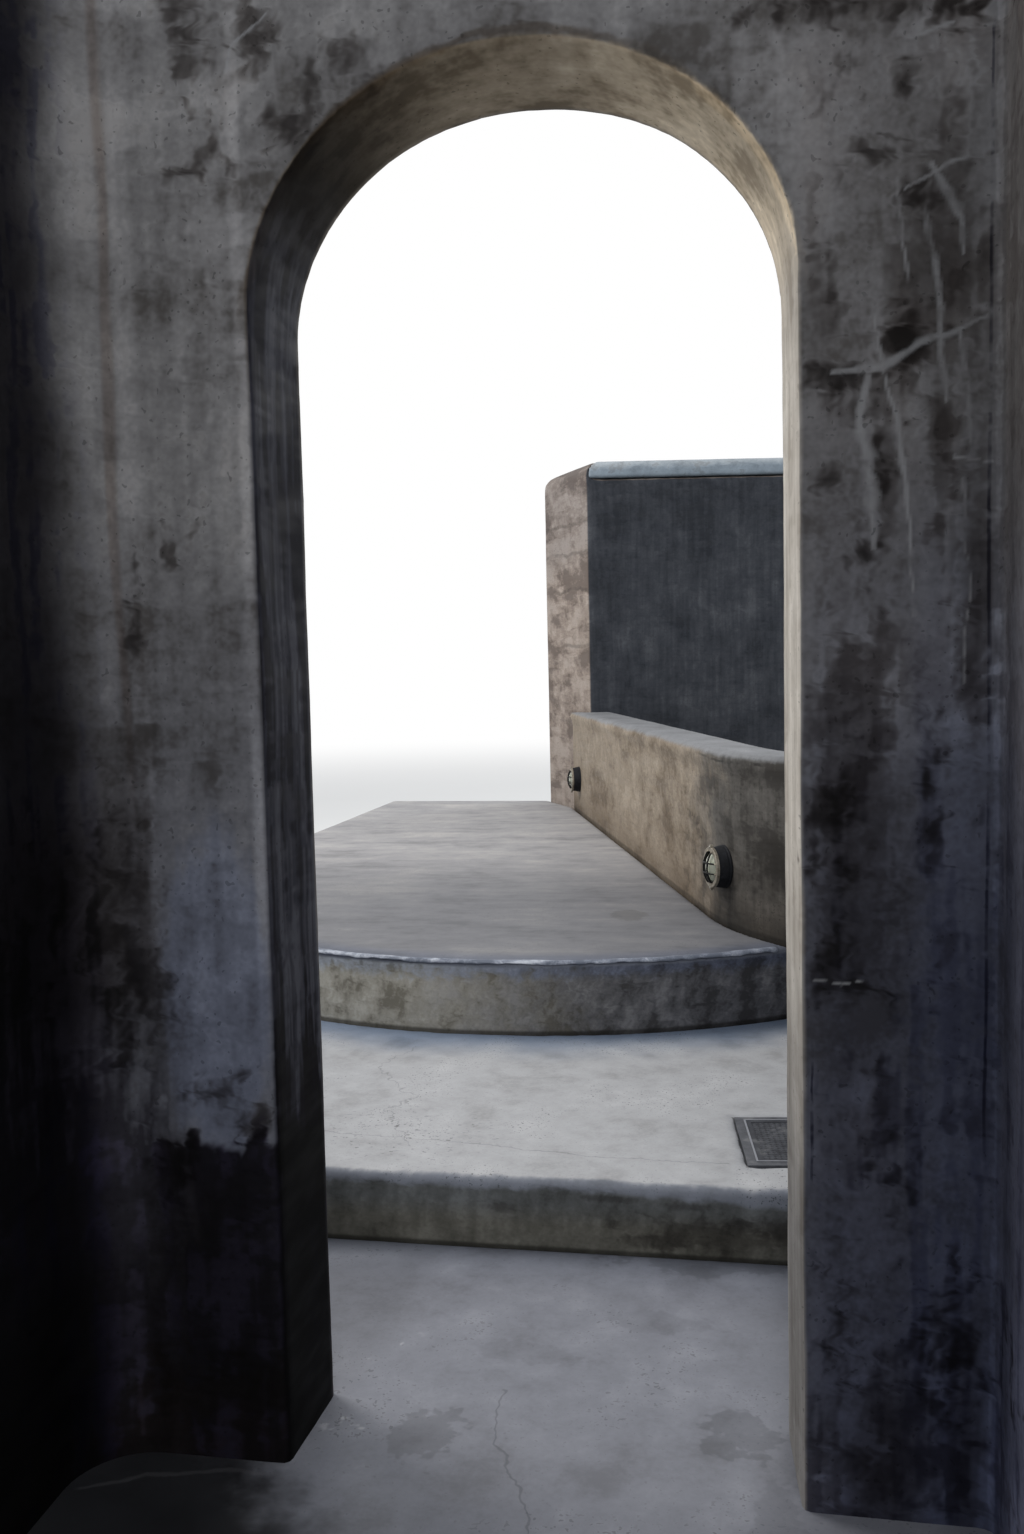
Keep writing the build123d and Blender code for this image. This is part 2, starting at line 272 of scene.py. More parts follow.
def make_soft_patch():
    """Rounded patch about a given middle, whose edge follows a ragged value."""
    tree, g, given, out = new_tree("ShaderNodeTree", "soft_patch",
                                   {"Vector": "Vector", "Middle": "Vector", "Reach": (1.0, 1.0, 1.0),
                                    "Ragged": 0.0, "Soft": 0.25}, {"Mask": "Float"})
    off = g.vector("DIVIDE", g.vector("SUBTRACT", given["Vector"], given["Middle"]), given["Reach"])
    edge = g.add(g.vector("LENGTH", off), given["Ragged"])
    g.feed(out["Mask"], g.step(edge, g.add(0.85, given["Soft"]), g.minus(0.85, given["Soft"])))
    return tree


def make_thin_line():
    """Thin line between two points, for a crack or a splash of lime."""
    tree, g, given, out = new_tree("ShaderNodeTree", "thin_line",
                                   {"Vector": "Vector", "From": "Vector", "To": "Vector", "Width": 0.006},
                                   {"Mask": "Float"})
    along = g.vector("SUBTRACT", given["To"], given["From"])
    here = g.vector("SUBTRACT", given["Vector"], given["From"])
    length = g.vector("DOT_PRODUCT", along, along)
    share = g.math("DIVIDE", g.vector("DOT_PRODUCT", here, along), length, clamp=True)
    away = g.vector("DISTANCE", here, g.vector("SCALE", along, scale=share))
    g.feed(out["Mask"], g.step(away, given["Width"], g.times(given["Width"], 0.25)))
    return tree


def make_rising_damp():
    """Damp foot of a wall below a ragged tide line at a given height."""
    tree, g, given, out = new_tree("ShaderNodeTree", "rising_damp",
                                   {"Height": 0.5, "Level": 0.5, "Ragged": 0.0, "Soft": 0.02},
                                   {"Mask": "Float"})
    over = g.minus(given["Height"], g.add(given["Level"], given["Ragged"]))
    g.feed(out["Mask"], g.step(over, given["Soft"], g.times(given["Soft"], -1.0)))
    return tree


TROWELLED = make_trowelled()
THREE_TONES = make_three_tones()
SOFT_PATCH = make_soft_patch()
THIN_LINE = make_thin_line()
RISING_DAMP = make_rising_damp()


class Finish(Graph):
    """A material under way: its place on the piece, its pattern, colour, height and roughness."""

    def __init__(self, name, relief=0.004, strength=0.6):
        self.material = bpy.data.materials.new(name)
        self.material.use_nodes = True
        super().__init__(self.material.node_tree)
        self.tree.nodes.clear()
        self.place = self.put("ShaderNodeTexCoord").outputs["Object"]
        self.xyz = self.split(self.place)
        self.relief = relief
        self.strength = strength
        self.color = None
        self.height = None
        self.rough = 0.7

    def drawn_out(self, turn, along):
        """The place on the piece, drawn out along a wall that bears the given turn to the left of Y."""
        turned = Matrix.Rotation(-turn, 3, "Z")
        return self.through(self.place, Matrix.Diagonal((1.0, 1.0 / along, 1.0)) @ turned)

    def pattern(self, scale, contrast, wash=0.0, upright=1.0, smear=0.2, speck=0.3, place=None):
        """Lays the shared cement pattern, whose parts the stains of this finish use again."""
        made = self.use(TROWELLED, Vector=place or self.place, Scale=scale, Contrast=contrast, Wash=wash,
                        Upright=upright, Smear=smear, Speck=speck)
        self.tone = made["Tone"]
        self.height = made["Height"]
        self.rough = made["Roughness"]
        self.specks = made["Specks"]
        self.pits = made["Pits"]
        self.clouds = self.centred(made["Clouds"])
        self.patches = self.centred(made["Patches"])
        self.washes = self.centred(made["Washes"])
        self.marks = self.centred(made["Marks"])
        self.streaks = self.centred(made["Streaks"])
        self.ragged_kept = {}

    def palette(self, dark, mid, light, tone=None):
        """Colour from three tones, by default along the finish's own tone."""
        made = self.use(THREE_TONES, Tone=tone or self.tone, Dark=(*dark, 1.0), Mid=(*mid, 1.0),
                        Light=(*light, 1.0))
        return made["Color"]

    def ragged(self, patches=1.0, washes=0.0, clouds=0.0, marks=0.0, streaks=0.0):
        """Ragged value for the edge of a stain, built once for each mixture."""
        mixture = (patches, washes, clouds, marks, streaks)
        if mixture not in self.ragged_kept:
            value = self.times(self.patches, patches)
            for part, amount in zip((self.washes, self.clouds, self.marks, self.streaks), mixture[1:]):
                if amount:
                    value = self.share(part, amount, value)
            self.ragged_kept[mixture] = value
        return self.ragged_kept[mixture]

    def shifted(self, value, *mixture):
        """A value whose level lines wander by a ragged mixture."""
        return self.add(value, self.ragged(*mixture))

    def stored(self, name):
        """Soft field that is stored on the mesh."""
        return self.put("ShaderNodeAttribute", attribute_name=name).outputs["Fac"]

    def tint(self, color, *masks, how="MIX"):
        """Lays a colour over the finish where all the masks meet."""
        self.color = self.blend(self.times(*masks), self.color, (*color, 1.0), how)

    def shade(self, factor, *masks):
        """Darkens, or lightens, by a factor or by one for each of red, green and blue."""
        self.tint(factor if isinstance(factor, tuple) else (factor, factor, factor), *masks, how="MULTIPLY")

    def patch(self, middle, reach, ragged, soft=0.25):
        """Mask of one ragged patch about a middle, with its reach along each axis."""
        made = self.use(SOFT_PATCH, Vector=self.place, Middle=middle, Reach=reach, Ragged=ragged, Soft=soft)
        return made["Mask"]

    def damp(self, level, ragged, soft):
        """Mask of the damp under a ragged tide line."""
        made = self.use(RISING_DAMP, Height=self.xyz["Z"], Level=level, Ragged=ragged, Soft=soft)
        return made["Mask"]

    def path(self, points, width, wander):
        """Mask of a thin path over a floor, through points of x and y."""
        shift = self.vector("SCALE", self.join(self.washes, self.patches, self.patches), scale=wander)
        here = self.vector("MULTIPLY", self.vector("ADD", self.place, shift), (1.0, 1.0, 0.0))
        lines = [self.use(THIN_LINE, Vector=here, From=(*a, 0.0), To=(*b, 0.0), Width=width)
                 for a, b in zip(points, points[1:])]
        return self.most(*[line["Mask"] for line in lines])

    def finish(self, **constants):
        """Wires the surface shader. Constants go on the shader's own sockets."""
        shader = self.put("ShaderNodeBsdfPrincipled")
        self.feed(shader.inputs["Base Color"], self.color)
        self.feed(shader.inputs["Roughness"], self.rough)
        for key, value in constants.items():
            shader.inputs[key.replace("_", " ")].default_value = value
        bump = self.put("ShaderNodeBump")
        self.feed(bump.inputs["Strength"], self.strength)
        bump.inputs["Distance"].default_value = self.relief
        self.feed(bump.inputs["Height"], self.height)
        self.feed(shader.inputs["Normal"], bump.outputs[0])
        self.feed(self.put("ShaderNodeOutputMaterial").inputs["Surface"], shader.outputs[0])
        return self.material


# Finishes

# Blotches on the gate wall: x, z, half width, half height, strength
GATE_SPOTS = (
    (-0.55, 2.55, 0.035, 0.09, 1.0), (-0.49, 2.54, 0.05, 0.06, 0.6), (-0.42, 2.53, 0.05, 0.05, 0.75),
    (-0.345, 2.48, 0.03, 0.04, 0.7), (-0.335, 2.44, 0.035, 0.04, 0.9), (-0.365, 2.385, 0.055, 0.04, 1.0),
    (-0.27, 2.47, 0.05, 0.035, 0.9), (-0.525, 2.34, 0.025, 0.03, 1.0), (-0.555, 2.315, 0.08, 0.018, 0.8),
    (-0.52, 2.40, 0.025, 0.05, 0.6), (-0.448, 2.28, 0.035, 0.025, 0.8), (-0.48, 2.315, 0.02, 0.02, 0.7),
    (-0.677, 1.54, 0.022, 0.065, 1.0), (-0.676, 1.67, 0.012, 0.03, 0.8), (-0.60, 1.70, 0.06, 0.08, 0.35),
    (-0.567, 0.72, 0.035, 0.035, 1.0), (-0.518, 0.757, 0.022, 0.02, 0.9), (-0.503, 0.675, 0.045, 0.03, 1.0),
    (-0.633, 0.735, 0.018, 0.04, 0.8), (-0.65, 0.60, 0.04, 0.06, 1.0), (-0.70, 0.95, 0.06, 0.16, 0.9),
    (-0.74, 1.08, 0.07, 0.16, 0.9), (0.49, 2.47, 0.09, 0.025, 0.9), (0.652, 2.455, 0.11, 0.035, 0.8),
    (0.535, 2.39, 0.018, 0.016, 1.0), (0.572, 2.255, 0.04, 0.03, 1.0), (0.522, 2.21, 0.02, 0.013, 1.0),
    (0.616, 2.346, 0.025, 0.04, 0.9), (0.542, 2.324, 0.045, 0.035, 0.5), (0.638, 2.175, 0.05, 0.03, 0.9),
    (0.518, 1.92, 0.05, 0.022, 1.0), (0.534, 1.972, 0.03, 0.03, 0.7), (0.616, 1.967, 0.055, 0.04, 0.8),
    (0.531, 2.033, 0.022, 0.04, 0.6), (0.508, 2.10, 0.015, 0.07, 0.8), (0.579, 1.83, 0.03, 0.15, 0.6),
    (0.556, 1.648, 0.022, 0.05, 0.9), (0.50, 1.76, 0.028, 0.02, 0.9), (0.487, 1.556, 0.02, 0.03, 0.8),
    (0.50, 1.23, 0.028, 0.05, 1.0), (0.477, 1.14, 0.02, 0.03, 0.8), (0.535, 1.12, 0.03, 0.04, 0.6),
    (0.50, 0.99, 0.035, 0.06, 0.8), (0.547, 0.945, 0.05, 0.04, 0.7), (0.563, 1.16, 0.03, 0.03, 0.6),
    (0.67, 1.316, 0.04, 0.12, 0.5), (0.62, 0.62, 0.05, 0.12, 0.5),
    (0.52, 0.40, 0.04, 0.12, 0.7), (0.70, 0.36, 0.05, 0.10, 0.8))

# Broad darker fields on the gate wall: x, z, half width, half height, strength
GATE_DUSK = (
    (0.668, 2.07, 0.085, 0.20, 1.0), (0.62, 1.96, 0.06, 0.06, 0.8), (0.667, 1.84, 0.02, 0.15, 0.9),
    (0.588, 1.77, 0.022, 0.12, 0.9), (0.718, 1.60, 0.032, 0.36, 0.85), (0.60, 2.48, 0.18, 0.035, 0.9),
    (0.540, 1.18, 0.085, 0.36, 0.95), (0.575, 0.13, 0.10, 0.17, 1.0), (0.715, 0.14, 0.030, 0.20, 1.0),
    (0.50, 2.02, 0.05, 0.16, 0.6), (0.69, 2.30, 0.03, 0.10, 0.6))

# Lighter trowelled fields on the gate wall, in the same order
GATE_GLOW = (
    (-0.50, 2.20, 0.12, 0.36, 0.75), (0.70, 2.37, 0.055, 0.10, 1.0), (0.46, 2.30, 0.13, 0.20, 0.9),
    (0.54, 2.33, 0.08, 0.10, 0.6), (0.49, 0.09, 0.06, 0.05, 1.0))

# Lime runs and patched joints on the gate wall: width, then x, z of each point
GATE_RUNS = (
    (0.007, (0.604, 2.21), (0.610, 2.13), (0.616, 2.04)),
    (0.014, (0.645, 2.16), (0.665, 2.02), (0.680, 1.87)),
    (0.015, (0.656, 2.23), (0.675, 2.19), (0.700, 2.14), (0.704, 2.09)),
    (0.020, (0.560, 1.92), (0.550, 1.85), (0.571, 1.73), (0.570, 1.65)),
    (0.008, (0.568, 2.01), (0.601, 1.86), (0.621, 1.71), (0.632, 1.54)),
    (0.014, (0.702, 1.98), (0.717, 1.81)),
    (0.008, (0.703, 1.75), (0.715, 1.44)),
    (0.014, (0.506, 1.923), (0.586, 1.931), (0.661, 1.967), (0.741, 1.995)),
    (0.010, (0.620, 2.194), (0.682, 2.223), (0.743, 2.242)),
    (0.014, (0.608, 2.416), (0.688, 2.431)),
    (0.010, (0.691, 1.788), (0.747, 1.775)),
    (0.008, (-0.475, 2.476), (-0.461, 2.514), (-0.392, 2.563)),
    (0.0045, (0.478, 0.955), (0.52, 0.950), (0.575, 0.962)))

# Blue-grey field above the tide line of the left foot, in the same order as the stains
GATE_FIELD = ((-0.560, 0.92, 0.115, 0.34, 1.0),)


def gate_plaster():
    """Dark hand-trowelled plaster of the gate, damp at the foot, with lime runs on the right. Its front and
    left return carry painted shade, its right reveal and soffit painted light.
    """
    f = Finish("gate_plaster", relief=0.006, strength=0.6)
    f.pattern(1.0, 1.2, wash=0.24, smear=0.12)
    x, y, z = f.xyz["X"], f.xyz["Y"], f.xyz["Z"]
    f.tone = f.share(f.streaks, 0.34, f.share(f.marks, 0.18, f.tone))
    # Painted shade: the front's colours are a much darker copy of the warm ones on the back and outer sides
    shaded = f.palette((0.048, 0.045, 0.044), (0.112, 0.111, 0.116), (0.217, 0.216, 0.222))
    warm = f.palette((0.105, 0.092, 0.078), (0.185, 0.170, 0.150), (0.30, 0.285, 0.26))
    outer = f.step(f.math("ABSOLUTE", f.add(x, 0.03)), 0.99, 1.02)
    behind = f.most(f.step(y, GATE_BACK - 0.035, GATE_BACK - 0.008), outer)
    f.color = f.blend(behind, shaded, warm)

    # Painted shade: the front darkens towards the foot, and more so on the right
    front = f.minus(1.0, behind)
    face = f.step(y, 0.020, 0.004)
    right = f.step(x, 0.40, 0.52)
    left = f.minus(1.0, right)
    on_right = f.times(front, right)
    on_wall = f.times(front, f.step(x, 0.752, 0.742))
    rough_edge = f.ragged(1.3, 0.5, 0.0, 0.9, 0.9)
    height = f.share(f.clouds, 0.5, z)
    f.shade((0.61, 0.64, 0.745), front, f.step(height, 1.95, 0.75))
    f.shade((0.86, 0.85, 0.85), on_right)
    f.shade((0.62, 0.64, 0.73), on_right, f.step(height, 2.1, 1.0))
    cool = f.step(f.add(x, f.times(rough_edge, 0.10)), 0.60, 0.67)
    f.shade((1.12, 1.17, 1.28), on_right, cool, f.step(z, 1.9, 1.3))
    deep = f.step(f.ragged(1.0, 0.0, 0.7, 0.45, 0.5), -0.02, 0.18)
    f.shade((0.52, 0.50, 0.50), on_right, deep, 0.85)
    f.shade((1.26, 1.28, 1.30), on_right, f.step(rough_edge, -0.02, -0.20))
    dusk = f.share(rough_edge, 0.75, f.stored("dusk"))
    f.shade((0.52, 0.50, 0.49), on_wall, f.step(dusk, 0.34, 0.66))
    f.shade((0.58, 0.56, 0.55), on_wall, f.step(dusk, 0.64, 1.00))
    f.shade((1.02, 1.04, 1.12), on_right, f.step(height, 0.85, 0.15))
    inky = f.step(f.ragged(0.5, 0.3, 0.0, 0.4, 1.1), 0.0, 0.16)
    f.shade((0.58, 0.59, 0.68), on_right, f.step(height, 1.7, 1.0), inky, 0.8)

    # The returns: a lighter one past the trowelled right corner, where the painted shade of the right side
    # is lifted, and one past the left cove that painted shade makes almost black
    f.shade((1.80, 1.70, 1.58), f.step(y, -0.002, -0.030), f.step(x, 0.68, 0.745), front)
    in_corner = f.vector("DISTANCE", f.join(x, y, 0.0), (0.7527, -0.0073, 0.0))
    in_corner = f.shifted(in_corner, 0.012, 0.0, 0.0, 0.012)
    f.shade(1.42, f.step(in_corner, 0.0075, 0.003), front)
    # Painted shade makes the left return almost black
    turned = f.step(f.share(f.clouds, 0.06, x), -0.735, -0.812)
    f.shade((0.088, 0.084, 0.096), turned, front)
    f.shade((1.35, 1.25, 1.45), turned, front, f.step(height, 1.45, 0.85))
    f.shade((0.48, 0.50, 0.68), turned, front, inky)

    # Mottled warm soffit, darkened by painted shade on the left and lightened by painted light on the right
    within = f.times(f.step(y, 0.006, 0.014), front, f.step(f.math("ABSOLUTE", x), 0.50, 0.47))
    bands = f.noise(f.stretch(f.place, (3.0, 34.0, 1.8), (0.0, 0.12, 0.0)), 1.0, 3.0, 0.65)
    soffit = f.times(within, f.step(z, 1.85, 2.20))
    brown = f.palette((0.130, 0.104, 0.074), (0.255, 0.214, 0.163), (0.41, 0.358, 0.286),
                      f.share(f.centred(bands), 0.24, f.tone))
    f.color = f.blend(soffit, f.color, brown)
    # Painted shade on the left of the soffit, painted light on its right
    f.shade((0.050, 0.049, 0.051), soffit, f.step(x, -0.02, -0.38))
    f.shade((2.32, 2.34, 2.34), soffit, f.step(x, 0.02, 0.34))

    # Right reveal made pale by painted light that fades towards its foot, left reveal made blue-black by
    # painted shade, both smoother than the wall
    # Painted light: pale beige colours on the right reveal, darker towards its foot
    beige = f.palette((0.36, 0.325, 0.285), (0.49, 0.455, 0.41), (0.64, 0.60, 0.55),
                      f.share(f.streaks, 0.9, f.share(f.patches, 0.9, 0.5)))
    pale = f.times(within, f.step(x, 0.25, 0.42), f.step(z, 2.25, 1.95))
    f.color = f.blend(pale, f.color, beige)
    f.shade((0.35, 0.36, 0.385), pale, f.step(height, 1.15, 0.45))
    # Painted shade: blue-black colours on the left reveal
    left_reveal_tones_in_painted_shade = f.palette((0.007, 0.007, 0.0105), (0.0205, 0.0212, 0.0295), (0.052, 0.0535, 0.066),
                      f.share(f.streaks, 2.1, f.share(f.patches, 0.5, 0.48)))
    left_reveal_painted_shade = f.times(within, f.step(x, -0.25, -0.42), f.step(z, 2.34, 2.10))
    f.color = f.blend(left_reveal_painted_shade, f.color, left_reveal_tones_in_painted_shade)
    f.shade((0.10, 0.075, 0.125), left_reveal_painted_shade, f.step(f.shifted(z, 0.4, 0.3, 0.3, 0.2, 1.2), 0.90, 0.66))
    smooth = f.most(left_reveal_painted_shade, f.most(pale, f.times(soffit, 0.6)))
    f.strength = f.share(smooth, -0.5, 0.6)

    # Arris of the left jamb, lighter from wear and a painted highlight; the rim round the opening, darker on
    # the left and crown, with a painted highlight on the right; a painted highlight on the band and a darker
    # seam beside the cove; and lighter trowelled fields
    # Painted highlight, with wear, on the arris of the left jamb
    worn_and_highlit_arris = f.times(f.step(x, -0.485, -0.470), f.step(x, -0.452, -0.460), f.step(z, 0.7, 1.1))
    f.shade(1.25, worn_and_highlit_arris, face)
    off_arch = f.vector("LENGTH", f.join(x, 0.0, f.minus(z, ARCH_Z)))
    rim = f.near(f.shifted(off_arch, 0.03, 0.0, 0.0, 0.02), ARCH_R + 0.013, 0.010, 0.002)
    rim = f.times(rim, f.step(z, 2.02, 2.16), f.step(y, 0.05, 0.03))
    f.shade((0.52, 0.45, 0.38), rim, f.step(x, 0.30, 0.10), 0.8)
    # Painted highlight on the right of the rim
    f.shade((1.25, 1.20, 1.12), rim, f.step(x, 0.12, 0.34))
    sway = f.share(f.washes, 0.05, x)
    # Painted highlight on the band where the cove begins
    ridge_highlight = f.times(f.step(sway, -0.700, -0.682), f.step(sway, -0.645, -0.668), f.step(z, 0.75, 1.2))
    f.shade(1.22, ridge_highlight, face)
    seam = f.times(f.step(sway, -0.718, -0.706), f.step(sway, -0.692, -0.702), f.step(z, 1.1, 1.5))
    f.shade((0.72, 0.62, 0.56), seam, face, 0.7)
    glow = f.share(rough_edge, 0.5, f.stored("glow"))
    f.shade(1.25, f.step(glow, 0.35, 0.75), face)
    f.shade(1.22, f.step(glow, 0.70, 1.10), face)

    # Brown-black marks in clusters, lime runs and two dark drips
    spots = f.stored("spots")
    edge = f.shifted(spots, 1.3, 0.4, 0.0, 1.9, 0.9)
    f.shade((0.38, 0.36, 0.35), f.step(edge, 0.30, 0.80), f.step(spots, 0.02, 0.30))
    f.shade((0.50, 0.49, 0.49), f.step(edge, 0.66, 1.05), f.step(spots, 0.1, 0.4))
    network = f.step(f.share(f.clouds, 0.6, rough_edge), 0.16, 0.30)
    f.shade((0.54, 0.515, 0.50), network, face, 0.32)
    f.tint((0.19, 0.195, 0.208), f.stored("runs"), f.step(rough_edge, -0.34, 0.10), 0.62)
    wandering = f.share(f.streaks, 0.02, f.share(f.washes, 0.022, x))
    drip = f.times(f.near(wandering, 0.744, 0.0042, 0.0012), f.step(z, 0.62, 0.78))
    short = f.times(f.near(wandering, 0.470, 0.0036, 0.0012), f.step(z, 0.92, 0.82), f.step(z, 0.56, 0.64))
    f.shade((0.24, 0.24, 0.32), f.most(drip, short), on_wall, f.step(rough_edge, -0.24, 0.16))

    # Blue-grey field above the tide line of the left foot, the damp below it, and painted shade beside the
    # cove
    off_field = f.share(f.stored("field"), -2.0, f.add(f.ragged(0.5, 0.3, 0.0, 0.2, 0.5), 2.0))
    f.shade((1.08, 1.15, 1.30), f.step(off_field, 0.99, 0.71), face)
    left_foot = f.times(left, front, f.step(x, -0.30, -0.42))
    tide = f.damp(0.64, f.ragged(0.22, 0.05, 0.0, 0.10, 0.04), 0.018)
    near_tide = f.step(f.shifted(x, 0.14, 0.0, 0.0, 0.10, 0.20), -0.71, -0.62)
    smear = f.damp(0.88, f.ragged(0.7, 0.3, 0.0, 0.5, 1.2), 0.20)
    aside = f.minus(1.0, near_tide)
    f.shade((0.185, 0.172, 0.190), left_foot, f.most(tide, f.times(smear, aside)))
    f.shade((0.25, 0.235, 0.28), tide, left_foot, near_tide)
    # Painted shade beside the cove
    cove_painted_shade = f.times(f.step(f.shifted(x, 0.15, 0.1, 0.0, 0.1, 0.2), -0.655, -0.72),
                      f.step(height, 1.55, 1.05))
    f.shade((0.40, 0.375, 0.36), cove_painted_shade, front, f.step(z, 0.75, 0.95))
    low_tide = f.damp(0.42, f.ragged(0.3, 0.1, 0.0, 0.1, 0.3), 0.04)
    f.shade((0.46, 0.44, 0.46), low_tide, left_foot, aside)
    f.shade((1.9, 1.85, 2.15), tide, left_foot, f.step(f.ragged(0.8, 0.0, 0.0, 0.4, 0.8), 0.0, 0.16))
    mud = f.step(f.shifted(z, 0.6, 0.2, 0.0, 0.4), FLOOR_Z + 0.20, FLOOR_Z + 0.02)
    f.shade((0.86, 0.74, 0.60), mud, left_foot)
    f.shade(0.40, f.pits, 0.6)
    f.shade(0.4, f.specks, 0.6)
    return f.finish(Specular_IOR_Level=0.07)


def coping_render():
    """Pale blue-white render of the copings, with a painted shadow line along the drip edge and painted
    shade on their lower sides.
    """
    f = Finish("coping_render", relief=0.003, strength=0.5)
    f.pattern(1.6, 1.2, wash=0.1, smear=0.3)
    z = f.xyz["Z"]
    f.color = f.palette((0.21, 0.235, 0.26), (0.31, 0.35, 0.385), (0.43, 0.475, 0.515))
    f.tint((0.14, 0.14, 0.14), f.step(f.patches, 0.04, 0.16), 0.5)
    # Painted shadow line along the drip edge, and painted shade on the lower sides
    f.shade(0.45, f.step(z, WALL_TOP + 0.03, WALL_TOP), 0.55)
    f.shade((0.55, 0.60, 0.65), f.step(f.shifted(z, 0.06), WALL_TOP + 0.105, WALL_TOP + 0.045))
    return f.finish(Specular_IOR_Level=0.3)


def passage_screed():
    """Smooth grey screed with damp stains, lime splashes and one long crack, a painted shadow beside the
    left jamb and painted shade in front of the gate.
    """
    f = Finish("passage_screed", relief=0.0025, strength=0.5)
    f.pattern(1.3, 1.15, smear=0.16, speck=0.6)
    x, y = f.xyz["X"], f.xyz["Y"]
    f.color = f.palette((0.119, 0.123, 0.143), (0.166, 0.173, 0.203), (0.223, 0.231, 0.265))
    for middle, reach, amount in (
            ((-0.24, 0.13), (0.075, 0.10), 0.55), ((0.36, 0.22), (0.07, 0.09), 0.55),
            ((0.41, -0.02), (0.05, 0.10), 0.3), ((-0.10, 0.45), (0.12, 0.05), 0.2),
            ((0.16, 0.62), (0.14, 0.05), 0.2), ((0.25, 0.93), (0.28, 0.07), 0.45)):
        stain = f.patch((*middle, 0.05), (*reach, 0.5), f.ragged(2.6, 0.0, 1.0, 0.8), 0.10)
        f.shade(0.55, stain, amount)
    f.shade(0.62, f.step(f.share(f.patches, 0.10, f.math("ABSOLUTE", x)), 0.36, 0.46), 0.5)
    f.shade((0.86, 0.92, 1.0), f.step(y, 0.70, 0.93), 0.5)
    # Painted shadow on the floor beside the left jamb, and painted shade on the floor in front of the gate
    f.shade(0.10, f.step(f.shifted(f.share(y, 0.75, x), 0.22), -0.40, -0.62), f.step(y, 0.12, 0.0))
    f.shade(0.4, f.step(y, 0.0, -0.45), 0.6)
    splash = f.times(f.step(f.patches, 0.13, 0.17),
                     f.patch((-0.37, 0.25, 0.05), (0.10, 0.30, 0.5), f.ragged(0.5)))
    f.tint((0.42, 0.43, 0.45), splash, 0.55)
    foot_line = f.path(((-0.80, -0.12), (-0.70, -0.065), (-0.58, -0.035), (-0.47, -0.030)), 0.008, 0.04)
    f.tint((0.12, 0.12, 0.13), foot_line, 0.16)
    crack = f.path(((-0.12, 0.30), (-0.10, 0.12), (-0.04, 0.02), (0.02, -0.16)), 0.0035, 0.05)
    f.shade(0.35, crack, 0.5)
    f.shade(0.6, f.pits, 0.45)
    f.shade(0.35, f.specks)
    f.rough = f.step(f.clouds, -0.2, 0.2, 0.42, 0.60)
    return f.finish(Specular_IOR_Level=0.3)


